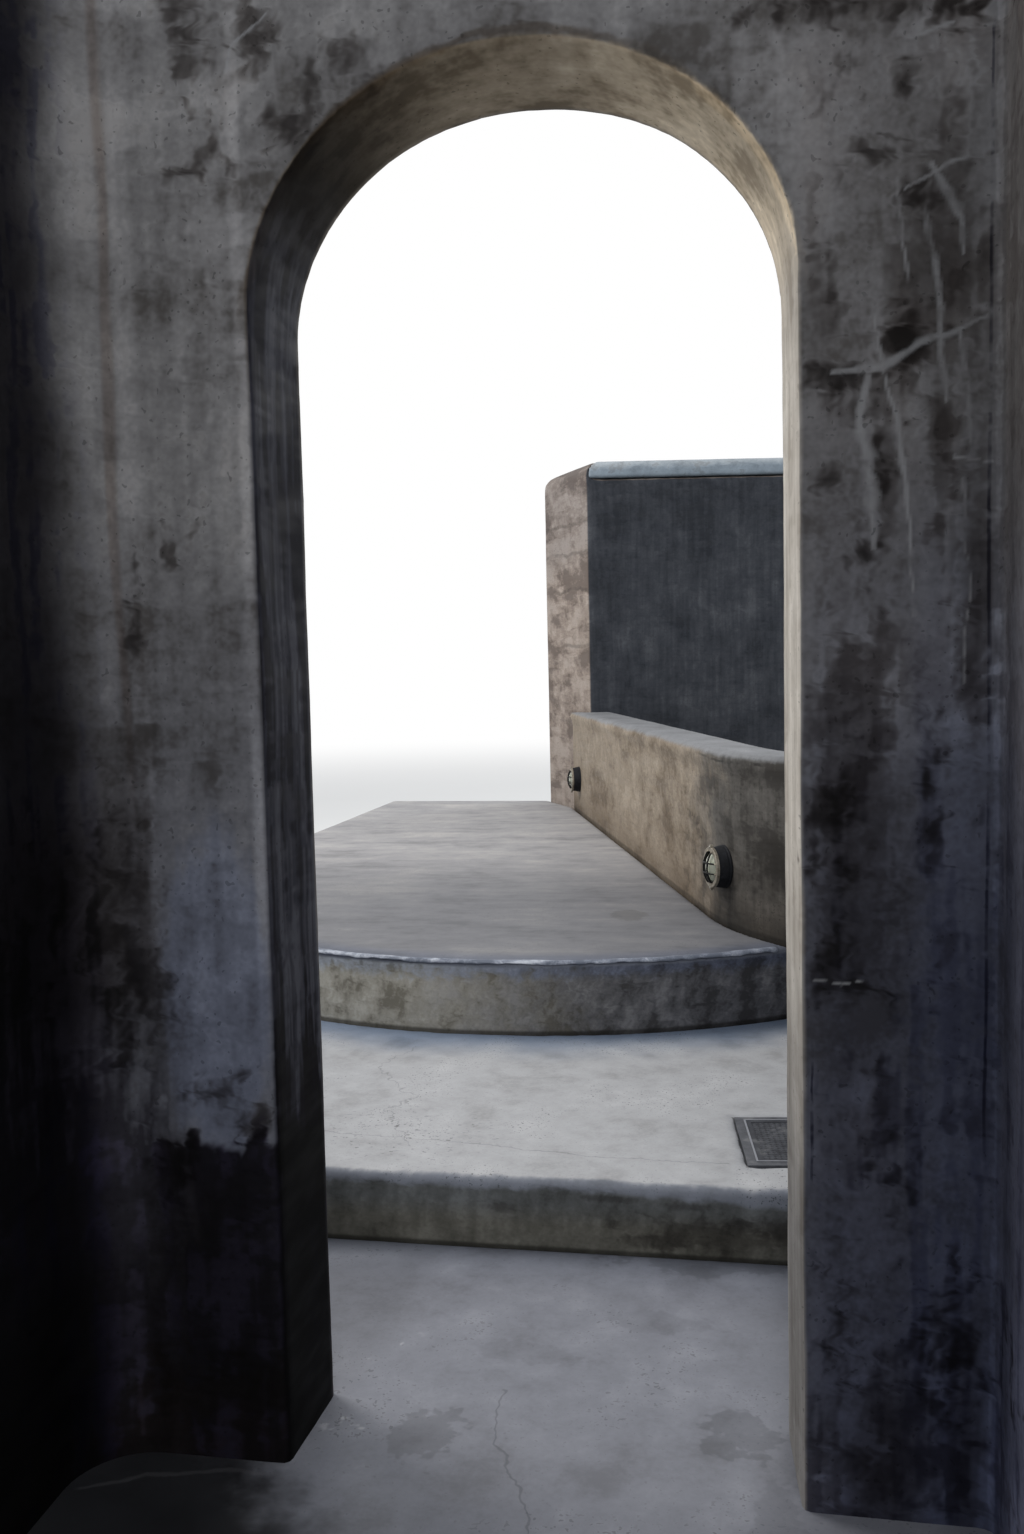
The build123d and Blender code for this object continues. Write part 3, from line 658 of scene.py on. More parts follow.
def lower_step_finish():
    """Warm light screed tread with a pale rolled nosing that carries a band of painted blue-grey shade, and
    painted blue shade beside the riser above, over an olive-brown riser with a damp end.
    """
    f = Finish("lower_step", relief=0.0035, strength=0.6)
    f.pattern(1.7, 1.0, upright=3.0, smear=0.08, speck=0.9)
    x, y, z = f.xyz["X"], f.xyz["Y"], f.xyz["Z"]
    f.color = f.palette((0.040, 0.039, 0.033), (0.082, 0.080, 0.069), (0.150, 0.147, 0.130),
                        f.share(f.marks, 0.25, f.share(f.washes, 0.5, f.tone)))
    f.shade((0.90, 0.98, 1.16), f.step(z, TREAD_Z - 0.125, TREAD_Z - 0.055))
    for stain_x, stain_z, wide, high in (
            (0.32, 0.105, 0.24, 0.045), (0.42, 0.135, 0.12, 0.03), (0.14, 0.085, 0.10, 0.02),
            (0.22, 0.175, 0.06, 0.012), (-0.25, 0.15, 0.05, 0.012), (0.02, 0.185, 0.08, 0.01)):
        stain = f.patch((stain_x, RISER_Y, stain_z), (wide, 0.3, high), f.ragged(2.0, 0.0, 0.0, 1.0), 0.45)
        f.shade((0.45, 0.43, 0.43), stain, 0.7)
    f.shade(0.3, f.step(z, FLOOR_Z + 0.012, FLOOR_Z + 0.002))
    riser = f.color

    # Tread: warm grey, with painted blue shade beside the riser above, darkest in the crease at its foot,
    # and pits near its left front edge
    f.color = f.palette((0.263, 0.265, 0.272), (0.345, 0.350, 0.366), (0.43, 0.436, 0.452),
                        f.share(f.centred(f.tone), 1.1, 0.5))
    away = f.minus(f.vector("DISTANCE", f.join(x, y, 0.0), (*NOSE_MIDDLE, 0.0)), NOSE_R)
    # Painted shade beside the riser above, and in the crease at its foot
    f.shade((0.40, 0.50, 0.66), f.step(f.share(f.clouds, 0.25, away), 0.34, 0.03))
    f.shade(0.5, f.step(away, 0.012, 0.002))
    pitted = f.patch((-0.60, 1.20, TREAD_Z), (0.34, 0.20, 0.5), f.ragged(1.0, 0.0, 0.0, 0.6), 0.4)
    holes = f.step(f.noise(f.vector("MULTIPLY", f.place, (48.0, 80.0, 48.0)), 1.0, 2.0), 0.37, 0.31)
    f.shade(0.3, holes, f.share(pitted, 0.7, 0.02))
    f.shade(0.5, f.pits, 0.5)

    # Dark joint round the drain, two cracks, and painted blue-grey shade on the rolled nosing
    aside = f.stretch(f.vector("SUBTRACT", f.place, (DRAIN.x, DRAIN.y, 0.0)), (1.0, 1.0, 1.0),
                      (0.0, 0.0, -DRAIN_TURN))
    aside = f.split(f.vector("ABSOLUTE", aside))
    beside = f.shifted(f.minus(f.most(aside["X"], aside["Y"]), DRAIN_HALF), 0.02, 0.0, 0.0, 0.02)
    f.shade(0.35, f.step(beside, 0.007, 0.001))
    f.shade((0.80, 0.82, 0.86), f.step(beside, 0.035, 0.010), 0.35)
    cracks = f.most(f.path(((-0.72, 2.01), (-0.80, 1.79), (-0.70, 1.62), (-0.60, 1.51), (-0.66, 1.38),
                            (-0.52, 1.12)), 0.004, 0.10),
                    f.path(((-0.86, 1.20), (-0.4, 1.16), (-0.02, 1.10), (0.3, 1.09)), 0.003, 0.05))
    f.shade(0.35, cracks, 0.42)
    f.shade(0.35, f.specks)
    lift = f.share(f.step(x, -0.1, 0.45), 0.012, f.ragged(0.035, 0.01, 0.03))
    is_tread = f.step(f.add(z, lift), TREAD_Z - 0.038, TREAD_Z - 0.018)
    # Painted blue-grey shade on the rolled nosing
    f.shade((0.46, 0.495, 0.57), f.step(f.shifted(y, 0.03, 0.0, 0.01), RISER_Y + 0.024, RISER_Y + 0.008))
    f.color = f.blend(is_tread, riser, f.color)
    f.rough = f.step(is_tread, 0.0, 1.0, 0.85, 0.60)
    return f.finish(Specular_IOR_Level=0.25)


def terrace_finish():
    """Streaky grey terrace screed, brighter towards its far end by painted light, over a riser that goes
    from sand on the left to slate on the right.
    """
    f = Finish("terrace", relief=0.0035, strength=0.6)
    f.pattern(1.5, 1.15, upright=3.0, smear=0.12, speck=0.6)
    x, y, z = f.xyz["X"], f.xyz["Y"], f.xyz["Z"]
    upright = f.share(f.patches, 0.5, f.share(f.marks, 0.4, f.share(f.washes, 0.45, f.tone)))
    sand = f.palette((0.170, 0.157, 0.128), (0.325, 0.308, 0.265), (0.48, 0.46, 0.41), upright)
    slate = f.palette((0.030, 0.030, 0.033), (0.078, 0.078, 0.084), (0.168, 0.166, 0.170), upright)
    drift = f.shifted(x, 0.9, 0.3, 0.7)
    f.color = f.blend(f.step(drift, -0.98, -0.08), sand, slate)
    f.shade((0.75, 0.77, 0.85), f.step(drift, -0.15, 0.35, 0.0, 0.6))
    under_lip = f.shifted(z, 0.10, 0.0, 0.0, 0.05)
    f.shade((0.80, 0.92, 1.22), f.step(under_lip, TERRACE_Z - 0.075, TERRACE_Z - 0.030, 0.0, 0.9))
    joint = f.times(f.step(z, TREAD_Z + 0.014, TREAD_Z + 0.002),
                    f.step(z, TREAD_Z - 0.020, TREAD_Z - 0.006))
    f.shade(0.3, joint)
    riser = f.color

    wind = f.noise(f.stretch(f.place, (1.6, 7.0, 1.0), (0.0, 0.0, 0.25)), 1.0, 5.0, 0.62)
    f.color = f.palette((0.092, 0.094, 0.103), (0.140, 0.142, 0.155), (0.205, 0.203, 0.208),
                        f.share(f.centred(wind), 0.7, f.share(f.centred(f.tone), 0.6, 0.5)))
    # Painted light: the terrace top brightens towards its far end
    f.shade((2.22, 2.16, 2.05), f.step(y, 3.2, 5.0))
    f.shade((0.62, 0.60, 0.55),
            f.patch((-0.13, 3.02, TERRACE_Z), (0.085, 0.13, 0.5), f.ragged(1.2), 0.12), 0.5)
    inner = f.minus(NOSE_R, f.vector("DISTANCE", f.join(x, y, 0.0), (*NOSE_MIDDLE, 0.0)))
    f.shade((0.72, 0.78, 0.92), f.step(f.math("ABSOLUTE", inner), 0.16, 0.04), f.step(y, 3.0, 2.9))
    f.shade(0.55, f.pits, 0.25)
    f.shade(0.4, f.specks)
    is_top = f.step(f.shifted(z, 0.02), TERRACE_Z - 0.026, TERRACE_Z - 0.016)
    f.color = f.blend(is_top, riser, f.color)
    f.rough = f.step(is_top, 0.0, 1.0, 0.85, 0.62)
    return f.finish(Specular_IOR_Level=0.25)


def lip_screed():
    """Thin pale feather edge of the terrace screed."""
    f = Finish("lip_screed", relief=0.002, strength=0.6)
    f.pattern(2.6, 2.2)
    f.color = f.palette((0.10, 0.115, 0.15), (0.19, 0.21, 0.26), (0.42, 0.45, 0.51))
    return f.finish(Specular_IOR_Level=0.25)


def planter_plaster():
    """Warm beige-brown plaster, greyer round the near end where painted shade also darkens it, damp at the
    foot, under a grey top with wear, and a painted shadow line under the top at the near end.
    """
    f = Finish("planter_plaster", relief=0.005, strength=0.65)
    f.pattern(1.2, 1.4, wash=0.04, upright=6.0, smear=0.10, speck=0.6, place=f.drawn_out(PLANTER_LEAN, 1.7))
    y, z = f.xyz["Y"], f.xyz["Z"]
    f.tone = f.share(f.marks, 0.30, f.tone)
    warm = f.palette((0.130, 0.101, 0.073), (0.245, 0.202, 0.155), (0.42, 0.366, 0.300))
    # Painted shade: the grey colours of the near round end are much darker than the warm ones
    grey = f.palette((0.036, 0.033, 0.030), (0.078, 0.073, 0.067), (0.140, 0.132, 0.122),
                     f.share(f.streaks, 0.8, f.tone))
    round_end = f.step(f.shifted(y, 0.5, 0.6), 3.55, 2.80)
    f.color = f.blend(round_end, warm, grey)
    f.shade((0.66, 0.61, 0.56), f.step(f.ragged(0.6, 0.0, 1.0), 0.02, 0.16), 0.5)
    low = f.step(f.shifted(z, 0.5, 0.0, 0.8), TERRACE_Z + 0.40, TERRACE_Z + 0.02)
    f.shade((0.72, 0.66, 0.60), low, 0.55)
    f.shade((0.52, 0.51, 0.50), low, round_end)
    f.shade((0.66, 0.64, 0.62), f.damp(TERRACE_Z + 0.06, f.ragged(0.3, 0.0, 0.0, 0.15), 0.05), 0.6)
    f.shade(0.55, f.step(z, TERRACE_Z + 0.018, TERRACE_Z + 0.004))
    f.shade(0.55, round_end, f.step(f.streaks, 0.03, 0.16), 0.6)
    top = f.palette((0.125, 0.128, 0.136), (0.190, 0.196, 0.208), (0.27, 0.277, 0.292),
                    f.share(f.centred(f.tone), 0.6, 0.5))
    is_top = f.step(f.shifted(z, 0.03, 0.0, 0.0, 0.01), PLANTER_TOP - 0.034, PLANTER_TOP - 0.012)
    f.color = f.blend(is_top, f.color, top)
    # Painted shadow line under the top at the near end
    lift = f.times(f.centred(f.noise(f.place, 4.0, 3.0)), 0.05)
    seam = f.near(f.add(z, lift), PLANTER_TOP - 0.040, 0.007, 0.002)
    f.shade(0.35, seam, f.step(f.patches, -0.1, 0.06), f.step(y, 3.35, 3.05))
    f.shade(0.40, f.pits, 0.6)
    f.shade(0.4, f.specks)
    return f.finish(Specular_IOR_Level=0.2)


def tall_plaster():
    """Pinkish side face with upright washes and block joints that show through, and a front face made dark
    by painted shade.
    """
    f = Finish("tall_plaster", relief=0.005, strength=0.65)
    f.pattern(1.2, 1.45, wash=0.05, upright=3.0, smear=0.08, speck=0.5, place=f.drawn_out(TALL_LEAN, 2.2))
    z = f.xyz["Z"]
    f.tone = f.share(f.streaks, 0.25, f.share(f.marks, 0.25, f.tone))
    f.color = f.palette((0.135, 0.108, 0.094), (0.250, 0.206, 0.178), (0.42, 0.365, 0.325),
                        f.share(f.patches, 0.65, f.share(f.clouds, 0.7, f.tone)))
    f.shade((0.62, 0.66, 0.73), f.step(f.share(f.clouds, 1.0, z), 1.7, 2.5, 0.0, 0.6))
    f.shade((0.60, 0.58, 0.58), f.step(f.ragged(0.8, 0.0, 1.0), 0.03, 0.15), 0.45)
    lift = f.times(f.centred(f.noise(f.place, 3.0, 3.0)), 0.10)
    joints = f.most(*[f.near(f.add(z, lift), joint_z, 0.018, 0.004)
                      for joint_z in (2.36, 2.16, 1.93, 1.55)])
    f.shade(0.42, f.times(joints, f.step(f.patches, -0.12, 0.04)), 0.65)
    # Painted shade: the face toward the front takes a much darker copy of the plaster, the back face a
    # calmer one
    toward = f.vector("DOT_PRODUCT", f.put("ShaderNodeNewGeometry").outputs["Normal"], TALL_FRONT)
    calm = f.share(f.centred(f.tone), 0.7, f.share(f.streaks, 0.3, 0.46))
    rear = f.palette((0.135, 0.108, 0.094), (0.215, 0.182, 0.162), (0.31, 0.272, 0.247), calm)
    f.color = f.blend(f.step(toward, -0.55, -0.85), f.color, rear)
    dark = f.palette((0.015, 0.018, 0.024), (0.030, 0.034, 0.043), (0.066, 0.071, 0.082), calm)
    f.color = f.blend(f.step(toward, 0.55, 0.85), f.color, dark)
    f.shade(0.5, f.pits, 0.3)
    f.shade(0.4, f.specks)
    return f.finish(Specular_IOR_Level=0.2)


def plain_finish(name, colors, scale, rough, relief=0.0006, strength=0.4, **constants):
    """Small-scale finish of a metal or glassy piece, from the same pattern drawn fine."""
    f = Finish(name, relief=relief, strength=strength)
    f.pattern(scale, 1.1, speck=0.2)
    f.color = f.palette(*colors)
    f.rough = f.step(f.clouds, -0.2, 0.2, rough - 0.06, rough + 0.08)
    return f.finish(**constants)


def cast_iron(name, dark, mid, light, bead=None):
    """Dull blue-grey iron with cement dust in its low places, and the rubbed bead of the frame."""
    f = Finish(name, relief=0.0010, strength=0.5)
    f.pattern(9.0, 1.2, smear=0.1, speck=0.2)
    f.color = f.palette(dark, mid, light)
    f.tint((0.20, 0.205, 0.21), f.step(f.clouds, 0.03, 0.14), 0.35)
    if bead:
        f.tint(bead, f.step(f.xyz["Z"], TREAD_Z + 0.0008, TREAD_Z + 0.0016))
    f.rough = 0.55
    return f.finish(Metallic=0.3)


def guard_metal():
    """Bronze ring of the lamp guard, with nearly black bars over the glass."""
    f = Finish("guard_metal", relief=0.0006, strength=0.4)
    f.pattern(16.0, 1.1, speck=0.2)
    ring = f.palette((0.13, 0.112, 0.085), (0.25, 0.226, 0.185), (0.40, 0.37, 0.32))
    bars = f.palette((0.003, 0.003, 0.003), (0.007, 0.007, 0.007), (0.016, 0.016, 0.015))
    away = []
    for spot, angle in LAMP_PLACES:
        off = f.vector("SUBTRACT", f.place, (spot.x, spot.y, LAMP_Z))
        across = f.vector("CROSS_PRODUCT", off, (math.cos(angle), math.sin(angle), 0.0))
        away.append(f.vector("LENGTH", across))
    f.color = f.blend(f.step(f.math("MINIMUM", *away), GLASS_R + 0.0045, GLASS_R + 0.0025), ring, bars)
    f.rough = f.step(f.clouds, -0.2, 0.2, 0.42, 0.56)
    return f.finish(Metallic=0.4, Specular_IOR_Level=0.25)


def lens_glass():
    """Old beige-green lamp glass, slightly hazy."""
    f = Finish("lens_glass", relief=0.0003, strength=0.2)
    haze = f.noise(f.place, 18.0, 2.0, 0.5)
    f.color = f.blend(f.step(haze, 0.3, 0.7), (0.76, 0.79, 0.68, 1.0), (0.86, 0.88, 0.79, 1.0))
    f.rough = f.step(haze, 0.3, 0.7, 0.10, 0.18)
    f.height = haze
    return f.finish(Transmission_Weight=0.70, IOR=1.5)


GATE = gate_plaster()
COPING = coping_render()
PASSAGE = passage_screed()
LOWER = lower_step_finish()
UPPER = terrace_finish()
LIP = lip_screed()
PLANTER = planter_plaster()
TALL = tall_plaster()
FRAME_IRON = cast_iron("drain_frame_iron", (0.045, 0.048, 0.058), (0.078, 0.082, 0.096),
                       (0.13, 0.135, 0.15), (0.24, 0.25, 0.28))
PLATE_IRON = cast_iron("drain_plate_iron", (0.018, 0.020, 0.027), (0.032, 0.035, 0.045),
                       (0.060, 0.064, 0.078))
RIB_IRON = cast_iron("drain_rib_iron", (0.060, 0.063, 0.075), (0.105, 0.110, 0.126),
                     (0.17, 0.175, 0.195))
LENS = lens_glass()
BLACK = plain_finish("lamp_black", ((0.006, 0.0065, 0.008), (0.010, 0.011, 0.014), (0.022, 0.023, 0.028)),
                     14.0, 0.62, Specular_IOR_Level=0.14)
BRONZE = guard_metal()
BOWL = plain_finish("bowl_white", ((0.60, 0.61, 0.52), (0.76, 0.77, 0.67), (0.85, 0.86, 0.77)), 20.0, 0.45)
STEEL = plain_finish("screw_steel", ((0.16, 0.15, 0.14), (0.30, 0.29, 0.27), (0.45, 0.44, 0.42)),
                     60.0, 0.38, 0.0003, 0.3, Metallic=0.8)


# Geometry trees

def end_tree(g, shape, material, out):
    """Every tree ends in real geometry with its material."""
    real = g.put("GeometryNodeRealizeInstances")
    paint = g.put("GeometryNodeSetMaterial")
    g.feed(real.inputs[0], shape)
    g.feed(paint.inputs["Geometry"], real.outputs[0])
    g.feed(paint.inputs["Material"], material)
    g.feed(out["Geometry"], paint.outputs[0])


def make_hand_laid():
    """Pushes a surface in by a broad wave and by smaller trowel waves, so that it never stands proud."""
    tree, g, given, out = new_tree(
        "GeometryNodeTree", "hand_laid",
        {"Geometry": "Geometry", "Broad Depth": 0.004, "Broad Size": 0.5, "Trowel Depth": 0.0015,
         "Trowel Size": 0.12, "Seed": 0.0, "Material": "Material"}, {"Geometry": "Geometry"})
    place = g.put("GeometryNodeInputPosition").outputs[0]
    normal = g.put("GeometryNodeInputNormal").outputs[0]
    start = g.vector("ADD", place, g.join(given["Seed"], given["Seed"], given["Seed"]))
    broad = g.noise(start, g.math("DIVIDE", 1.0, given["Broad Size"]), 2.0, 0.5)
    trowel = g.noise(start, g.math("DIVIDE", 1.0, given["Trowel Size"]), 3.0, 0.55, 0.6)
    depth = g.add(g.times(broad, given["Broad Depth"]), g.times(trowel, given["Trowel Depth"]))
    off_ground = g.step(g.split(place)["Z"], 0.0, 0.03)
    move = g.put("GeometryNodeSetPosition")
    g.feed(move.inputs["Geometry"], given["Geometry"])
    g.feed(move.inputs["Offset"], g.vector("SCALE", normal, scale=g.times(depth, off_ground, -1.0)))
    smooth = g.put("GeometryNodeSetShadeSmooth")
    g.feed(smooth.inputs[0], move.outputs[0])
    end_tree(g, smooth.outputs[0], given["Material"], out)
    return tree


def make_chequer():
    """Short diagonal ribs in threes on a square grid, turned a quarter from one square to the next."""
    tree, g, given, out = new_tree(
        "GeometryNodeTree", "chequer_ribs",
        {"Geometry": "Geometry", "Side": 0.26, "Count": 11, "Rib Length": 0.019, "Rib Width": 0.0032,
         "Rib Height": 0.0016, "Material": "Material"}, {"Geometry": "Geometry"})
    bar = g.put("GeometryNodeMeshCube")
    g.feed(bar.inputs["Size"], g.join(given["Rib Length"], given["Rib Width"], given["Rib Height"]))
    row = g.put("GeometryNodeMeshLine", mode="OFFSET")
    row.inputs["Count"].default_value = 3
    gap = g.times(given["Rib Width"], 2.2)
    g.feed(row.inputs["Start Location"], g.join(0.0, g.times(gap, -1.0), 0.0))
    g.feed(row.inputs["Offset"], g.join(0.0, gap, 0.0))
    trio = g.put("GeometryNodeInstanceOnPoints")
    g.feed(trio.inputs["Points"], row.outputs[0])
    g.feed(trio.inputs["Instance"], bar.outputs[0])
    grid = g.put("GeometryNodeMeshGrid")
    for axis in "XY":
        g.feed(grid.inputs["Size " + axis], given["Side"])
        g.feed(grid.inputs["Vertices " + axis], given["Count"])
    index = g.put("GeometryNodeInputIndex").outputs[0]
    column = g.math("MODULO", index, given["Count"])
    line = g.math("FLOOR", g.math("DIVIDE", index, given["Count"]))
    odd = g.math("MODULO", g.add(column, line), 2.0)
    field = g.put("GeometryNodeInstanceOnPoints")
    g.feed(field.inputs["Points"], grid.outputs[0])
    g.feed(field.inputs["Instance"], trio.outputs[0])
    g.feed(field.inputs["Rotation"], g.join(0.0, 0.0, g.share(odd, math.pi / 2, math.pi / 4)))
    end_tree(g, field.outputs[0], given["Material"], out)
    return tree


HAND_LAID = make_hand_laid()
CHEQUER = make_chequer()


def add_tree(piece, tree, values):
    """Puts a geometry tree on a piece, with its inputs set by name."""
    modifier = piece.modifiers.new(tree.name, "NODES")
    modifier.node_group = tree
    for item in tree.interface.items_tree:
        if item.in_out == "INPUT" and item.name in values:
            modifier[item.identifier] = values[item.name]


# Meshes

def link(mesh, name):
    """New object in the scene that holds the mesh."""
    piece = bpy.data.objects.new(name, mesh)
    bpy.context.scene.collection.objects.link(piece)
    return piece


def opened(mesh):
    """A mesh as a bmesh to work on."""
    work = bmesh.new()
    work.from_mesh(mesh)
    return work


def closed(work, mesh):
    """Writes the work back to its mesh."""
    work.to_mesh(mesh)
    work.free()
    return mesh


def smooth_piece(work, name, material):
    """New smooth-shaded piece of one material from a bmesh."""
    bmesh.ops.recalc_face_normals(work, faces=work.faces)
    mesh = closed(work, bpy.data.meshes.new(name))
    mesh.materials.append(material)
    for face in mesh.polygons:
        face.use_smooth = True
    return link(mesh, name)


def settle(piece):
    """Turns a piece with modifiers into a plain mesh of the same name."""
    bpy.context.view_layer.update()
    graph = bpy.context.evaluated_depsgraph_get()
    mesh = bpy.data.meshes.new_from_object(piece.evaluated_get(graph))
    piece.modifiers.clear()
    piece.data = mesh
    mesh.name = piece.name


def place_mesh(piece, matrix):
    """Moves a piece's mesh to its place, so that the object itself stays at the origin."""
    piece.data.transform(matrix)
    piece.data.update()


def set_node_material(node, material):
    """New material on a built solid that keeps its shape."""
    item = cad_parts[node]
    if not item.material_slots:
        item.data.materials.append(material)
    for holder in item.material_slots:
        holder.material = material


def solid_copy(node):
    """Welded copy of a built solid, as a helper object."""
    work = opened(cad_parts[node].data)
    bmesh.ops.remove_doubles(work, verts=work.verts, dist=1e-5)
    return link(closed(work, bpy.data.meshes.new("solid_" + node)), "solid_" + node)


def even_cells(piece, cell, crisp=False):
    """Even cells all over a piece. Crisp ones keep the sharp edges of a curved opening clean."""
    cells = piece.modifiers.new("cells", "REMESH")
    cells.mode = "SHARP" if crisp else "VOXEL"
    cells.use_smooth_shade = True
    if crisp:
        longest = max(piece.dimensions)
        cells.octree_depth = math.ceil(math.log2(longest / (0.99 * cell)))
        cells.scale = longest / (cell * 2 ** cells.octree_depth)
        cells.sharpness = 1.0
        cells.use_remove_disconnected = False
    else:
        cells.voxel_size = cell


def close_underside(piece):
    """Flattens the many cells of the hidden underside into one face."""
    work = opened(piece.data)
    under = [face for face in work.faces if face.normal.z < -0.99 and face.calc_center_median().z < 0.004]
    bmesh.ops.dissolve_faces(work, faces=under, use_verts=False)
    bmesh.ops.triangulate(work, faces=[face for face in work.faces if len(face.verts) > 4])
    closed(work, piece.data)


def lay_plaster(name, nodes, cell, material, seed, broad=0.004, broad_size=0.5, trowel=0.0015,
                trowel_size=0.12, crisp=False, soften=4):
    """One coat over several solids that touch: their union in fine even cells, then the hand-laid waves."""
    helpers = [solid_copy(node) for node in nodes]
    piece = helpers[0]
    for other in helpers[1:]:
        cut = piece.modifiers.new("join", "BOOLEAN")
        cut.operation = "UNION"
        cut.solver = "EXACT"
        cut.object = other
    even_cells(piece, cell, crisp)
    float_down = piece.modifiers.new("float_down", "SMOOTH")
    float_down.factor = 0.5
    float_down.iterations = 2 if crisp else soften
    add_tree(piece, HAND_LAID, {
        "Broad Depth": broad, "Broad Size": broad_size, "Trowel Depth": trowel, "Trowel Size": trowel_size,
        "Seed": seed, "Material": material})
    settle(piece)
    for other in helpers[1:]:
        bpy.data.objects.remove(other)
    piece.name = name
    close_underside(piece)
    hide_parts(*nodes)
    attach(piece, "root")
    return piece


# Hand work on the gate wall

def nearest_on(point, start, end):
    """Distance from a point to a segment, and the share of the segment before the nearest place on it."""
    along = end - start
    share = min(max((point - start).dot(along) / along.length_squared, 0.0), 1.0)
    return (point - start - along * share).length, share


def run_segments():
    """The lime runs as segments: start, end and the width at both, thin where a run begins and ends."""
    segments = []
    for width, *points in GATE_RUNS:
        widths = [width * 0.6] + [width] * (len(points) - 2) + [width * 0.4]
        for i in range(len(points) - 1):
            segments.append((Vector(points[i]), Vector(points[i + 1]), widths[i], widths[i + 1]))
    return segments


def refine_near_runs(piece, segments):
    """Finer cells on the gate wall's front beside each lime run."""
    work = opened(piece.data)
    edges = set()
    for face in work.faces:
        middle = face.calc_center_median()
        if face.normal.y < -0.7 and middle.y < 0.03:
            here = Vector((middle.x, middle.z))
            if any(nearest_on(here, a, b)[0] < RUN_REACH for a, b, before, after in segments):
                edges.update(face.edges)
    in_order = [edge for edge in work.edges if edge in edges]
    bmesh.ops.subdivide_edges(work, edges=in_order, cuts=3, use_grid_fill=True)
    closed(work, piece.data)


def even_reveals(piece):
    """Evens out the cells of the splayed reveals and the soffit, and leaves the rolled arrises alone."""
    work = opened(piece.data)
    inside = []
    for vert in work.verts:
        in_depth = REVEAL_RIM < vert.co.y < GATE_BACK - REVEAL_RIM
        if in_depth and abs(vert.co.x) < 0.49 and 0.06 < vert.co.z < ARCH_Z + ARCH_R + 0.03:
            inside.append(vert)
    for turn in range(REVEAL_TURNS):
        bmesh.ops.smooth_vert(work, verts=inside, factor=0.5, use_axis_x=True, use_axis_y=True,
                              use_axis_z=True)
    closed(work, piece.data)


def sag_crown(piece):
    """Lets the soffit hang a little lower towards the back, where the plaster was drawn down by hand."""
    for vert in piece.data.vertices:
        off = Vector((vert.co.x, vert.co.z - ARCH_Z)).length
        if off < ARCH_R + 0.05 and vert.co.z > ARCH_Z:
            share = (1.0 - abs(vert.co.x) / 0.46) * min(max(vert.co.y / GATE_BACK, 0.0), 1.0)
            fade = min(max((ARCH_R + 0.05 - off) / 0.04, 0.0), 1.0)
            vert.co.z -= CROWN_SAG * max(share, 0.0) ** 0.7 * fade


def soft_field(point, marks):
    """Height of the strongest of some soft round marks at a point of the wall."""
    best = 0.0
    for x, z, wide, high, amount in marks:
        across = abs(point.x - x) / wide
        if across < 2.0:
            best = max(best, amount * (1.0 - 0.5 * math.hypot(across, (point.z - z) / high)))
    return best


def run_strength(point, segments):
    """How much of a lime run covers a point of the wall, with ragged, wandering edges."""
    sway = noise.noise_vector(point * 24.0) * 0.004 + noise.noise_vector(point * 9.0) * 0.007
    here = Vector((point.x + sway.x, point.z + sway.z))
    ragged = 1.0 + 0.7 * noise.noise(point * 55.0)
    run = 0.0
    for a, b, before, after in segments:
        if min(a.x, b.x) - 0.03 < here.x < max(a.x, b.x) + 0.03:
            off, share = nearest_on(here, a, b)
            width = before + (after - before) * share
            run = max(run, 1.25 - off * ragged / (width * 0.5))
    run = min(max(run, 0.0), 1.0)
    return run * run * (3.0 - 2.0 * run)


def store_marks(piece):
    """Stores the soft fields of the stains, and the lime runs, which also stand a little proud."""
    segments = run_segments()
    refine_near_runs(piece, segments)
    mesh = piece.data
    fields = {"spots": GATE_SPOTS, "dusk": GATE_DUSK, "glow": GATE_GLOW, "field": GATE_FIELD}
    for name, marks in fields.items():
        values = [soft_field(vert.co, marks) if vert.co.y < 0.05 else 0.0 for vert in mesh.vertices]
        mesh.attributes.new(name, "FLOAT", "POINT").data.foreach_set("value", values)
    noise.seed_set(RUN_SEED)
    runs = []
    for vert in mesh.vertices:
        runs.append(run_strength(vert.co, segments) if vert.co.y < 0.05 else 0.0)
        vert.co.y -= RUN_HEIGHT * runs[-1]
    mesh.attributes.new("runs", "FLOAT", "POINT").data.foreach_set("value", runs)


# Masonry

gate_wall = lay_plaster("gate_wall_plaster", ["arch_head_wall", "left_jamb_wall", "right_jamb_wall",
                                              "left_return_wall", "right_return_wall"],
                        0.013, GATE, 3.0, 0.006, 0.45, 0.002, 0.13, crisp=True)
even_reveals(gate_wall)
sag_crown(gate_wall)
store_marks(gate_wall)
lay_plaster("gate_coping_render", ["gate_coping", "left_return_coping", "right_return_coping"],
            0.012, COPING, 7.0)
lay_plaster("lower_step_render", ["lower_step_base", "lower_step_tread"],
            0.014, LOWER, 11.0, 0.003, 0.4, 0.001, 0.15)
lay_plaster("terrace_render", ["terrace_base", "terrace_screed"],
            0.016, UPPER, 17.0, 0.003, 0.5, 0.001, 0.2)
lay_plaster("planter_wall_plaster", ["planter_wall", "planter_cap"],
            0.014, PLANTER, 23.0, 0.004, 0.4, soften=14)
lay_plaster("tall_wall_plaster", ["tall_wall_side", "tall_wall_front", "tall_coping_side"],
            0.018, TALL, 31.0, 0.005, 0.5, 0.002, soften=14)
lay_plaster("tall_coping_render", ["tall_coping_front"], 0.012, COPING, 37.0)


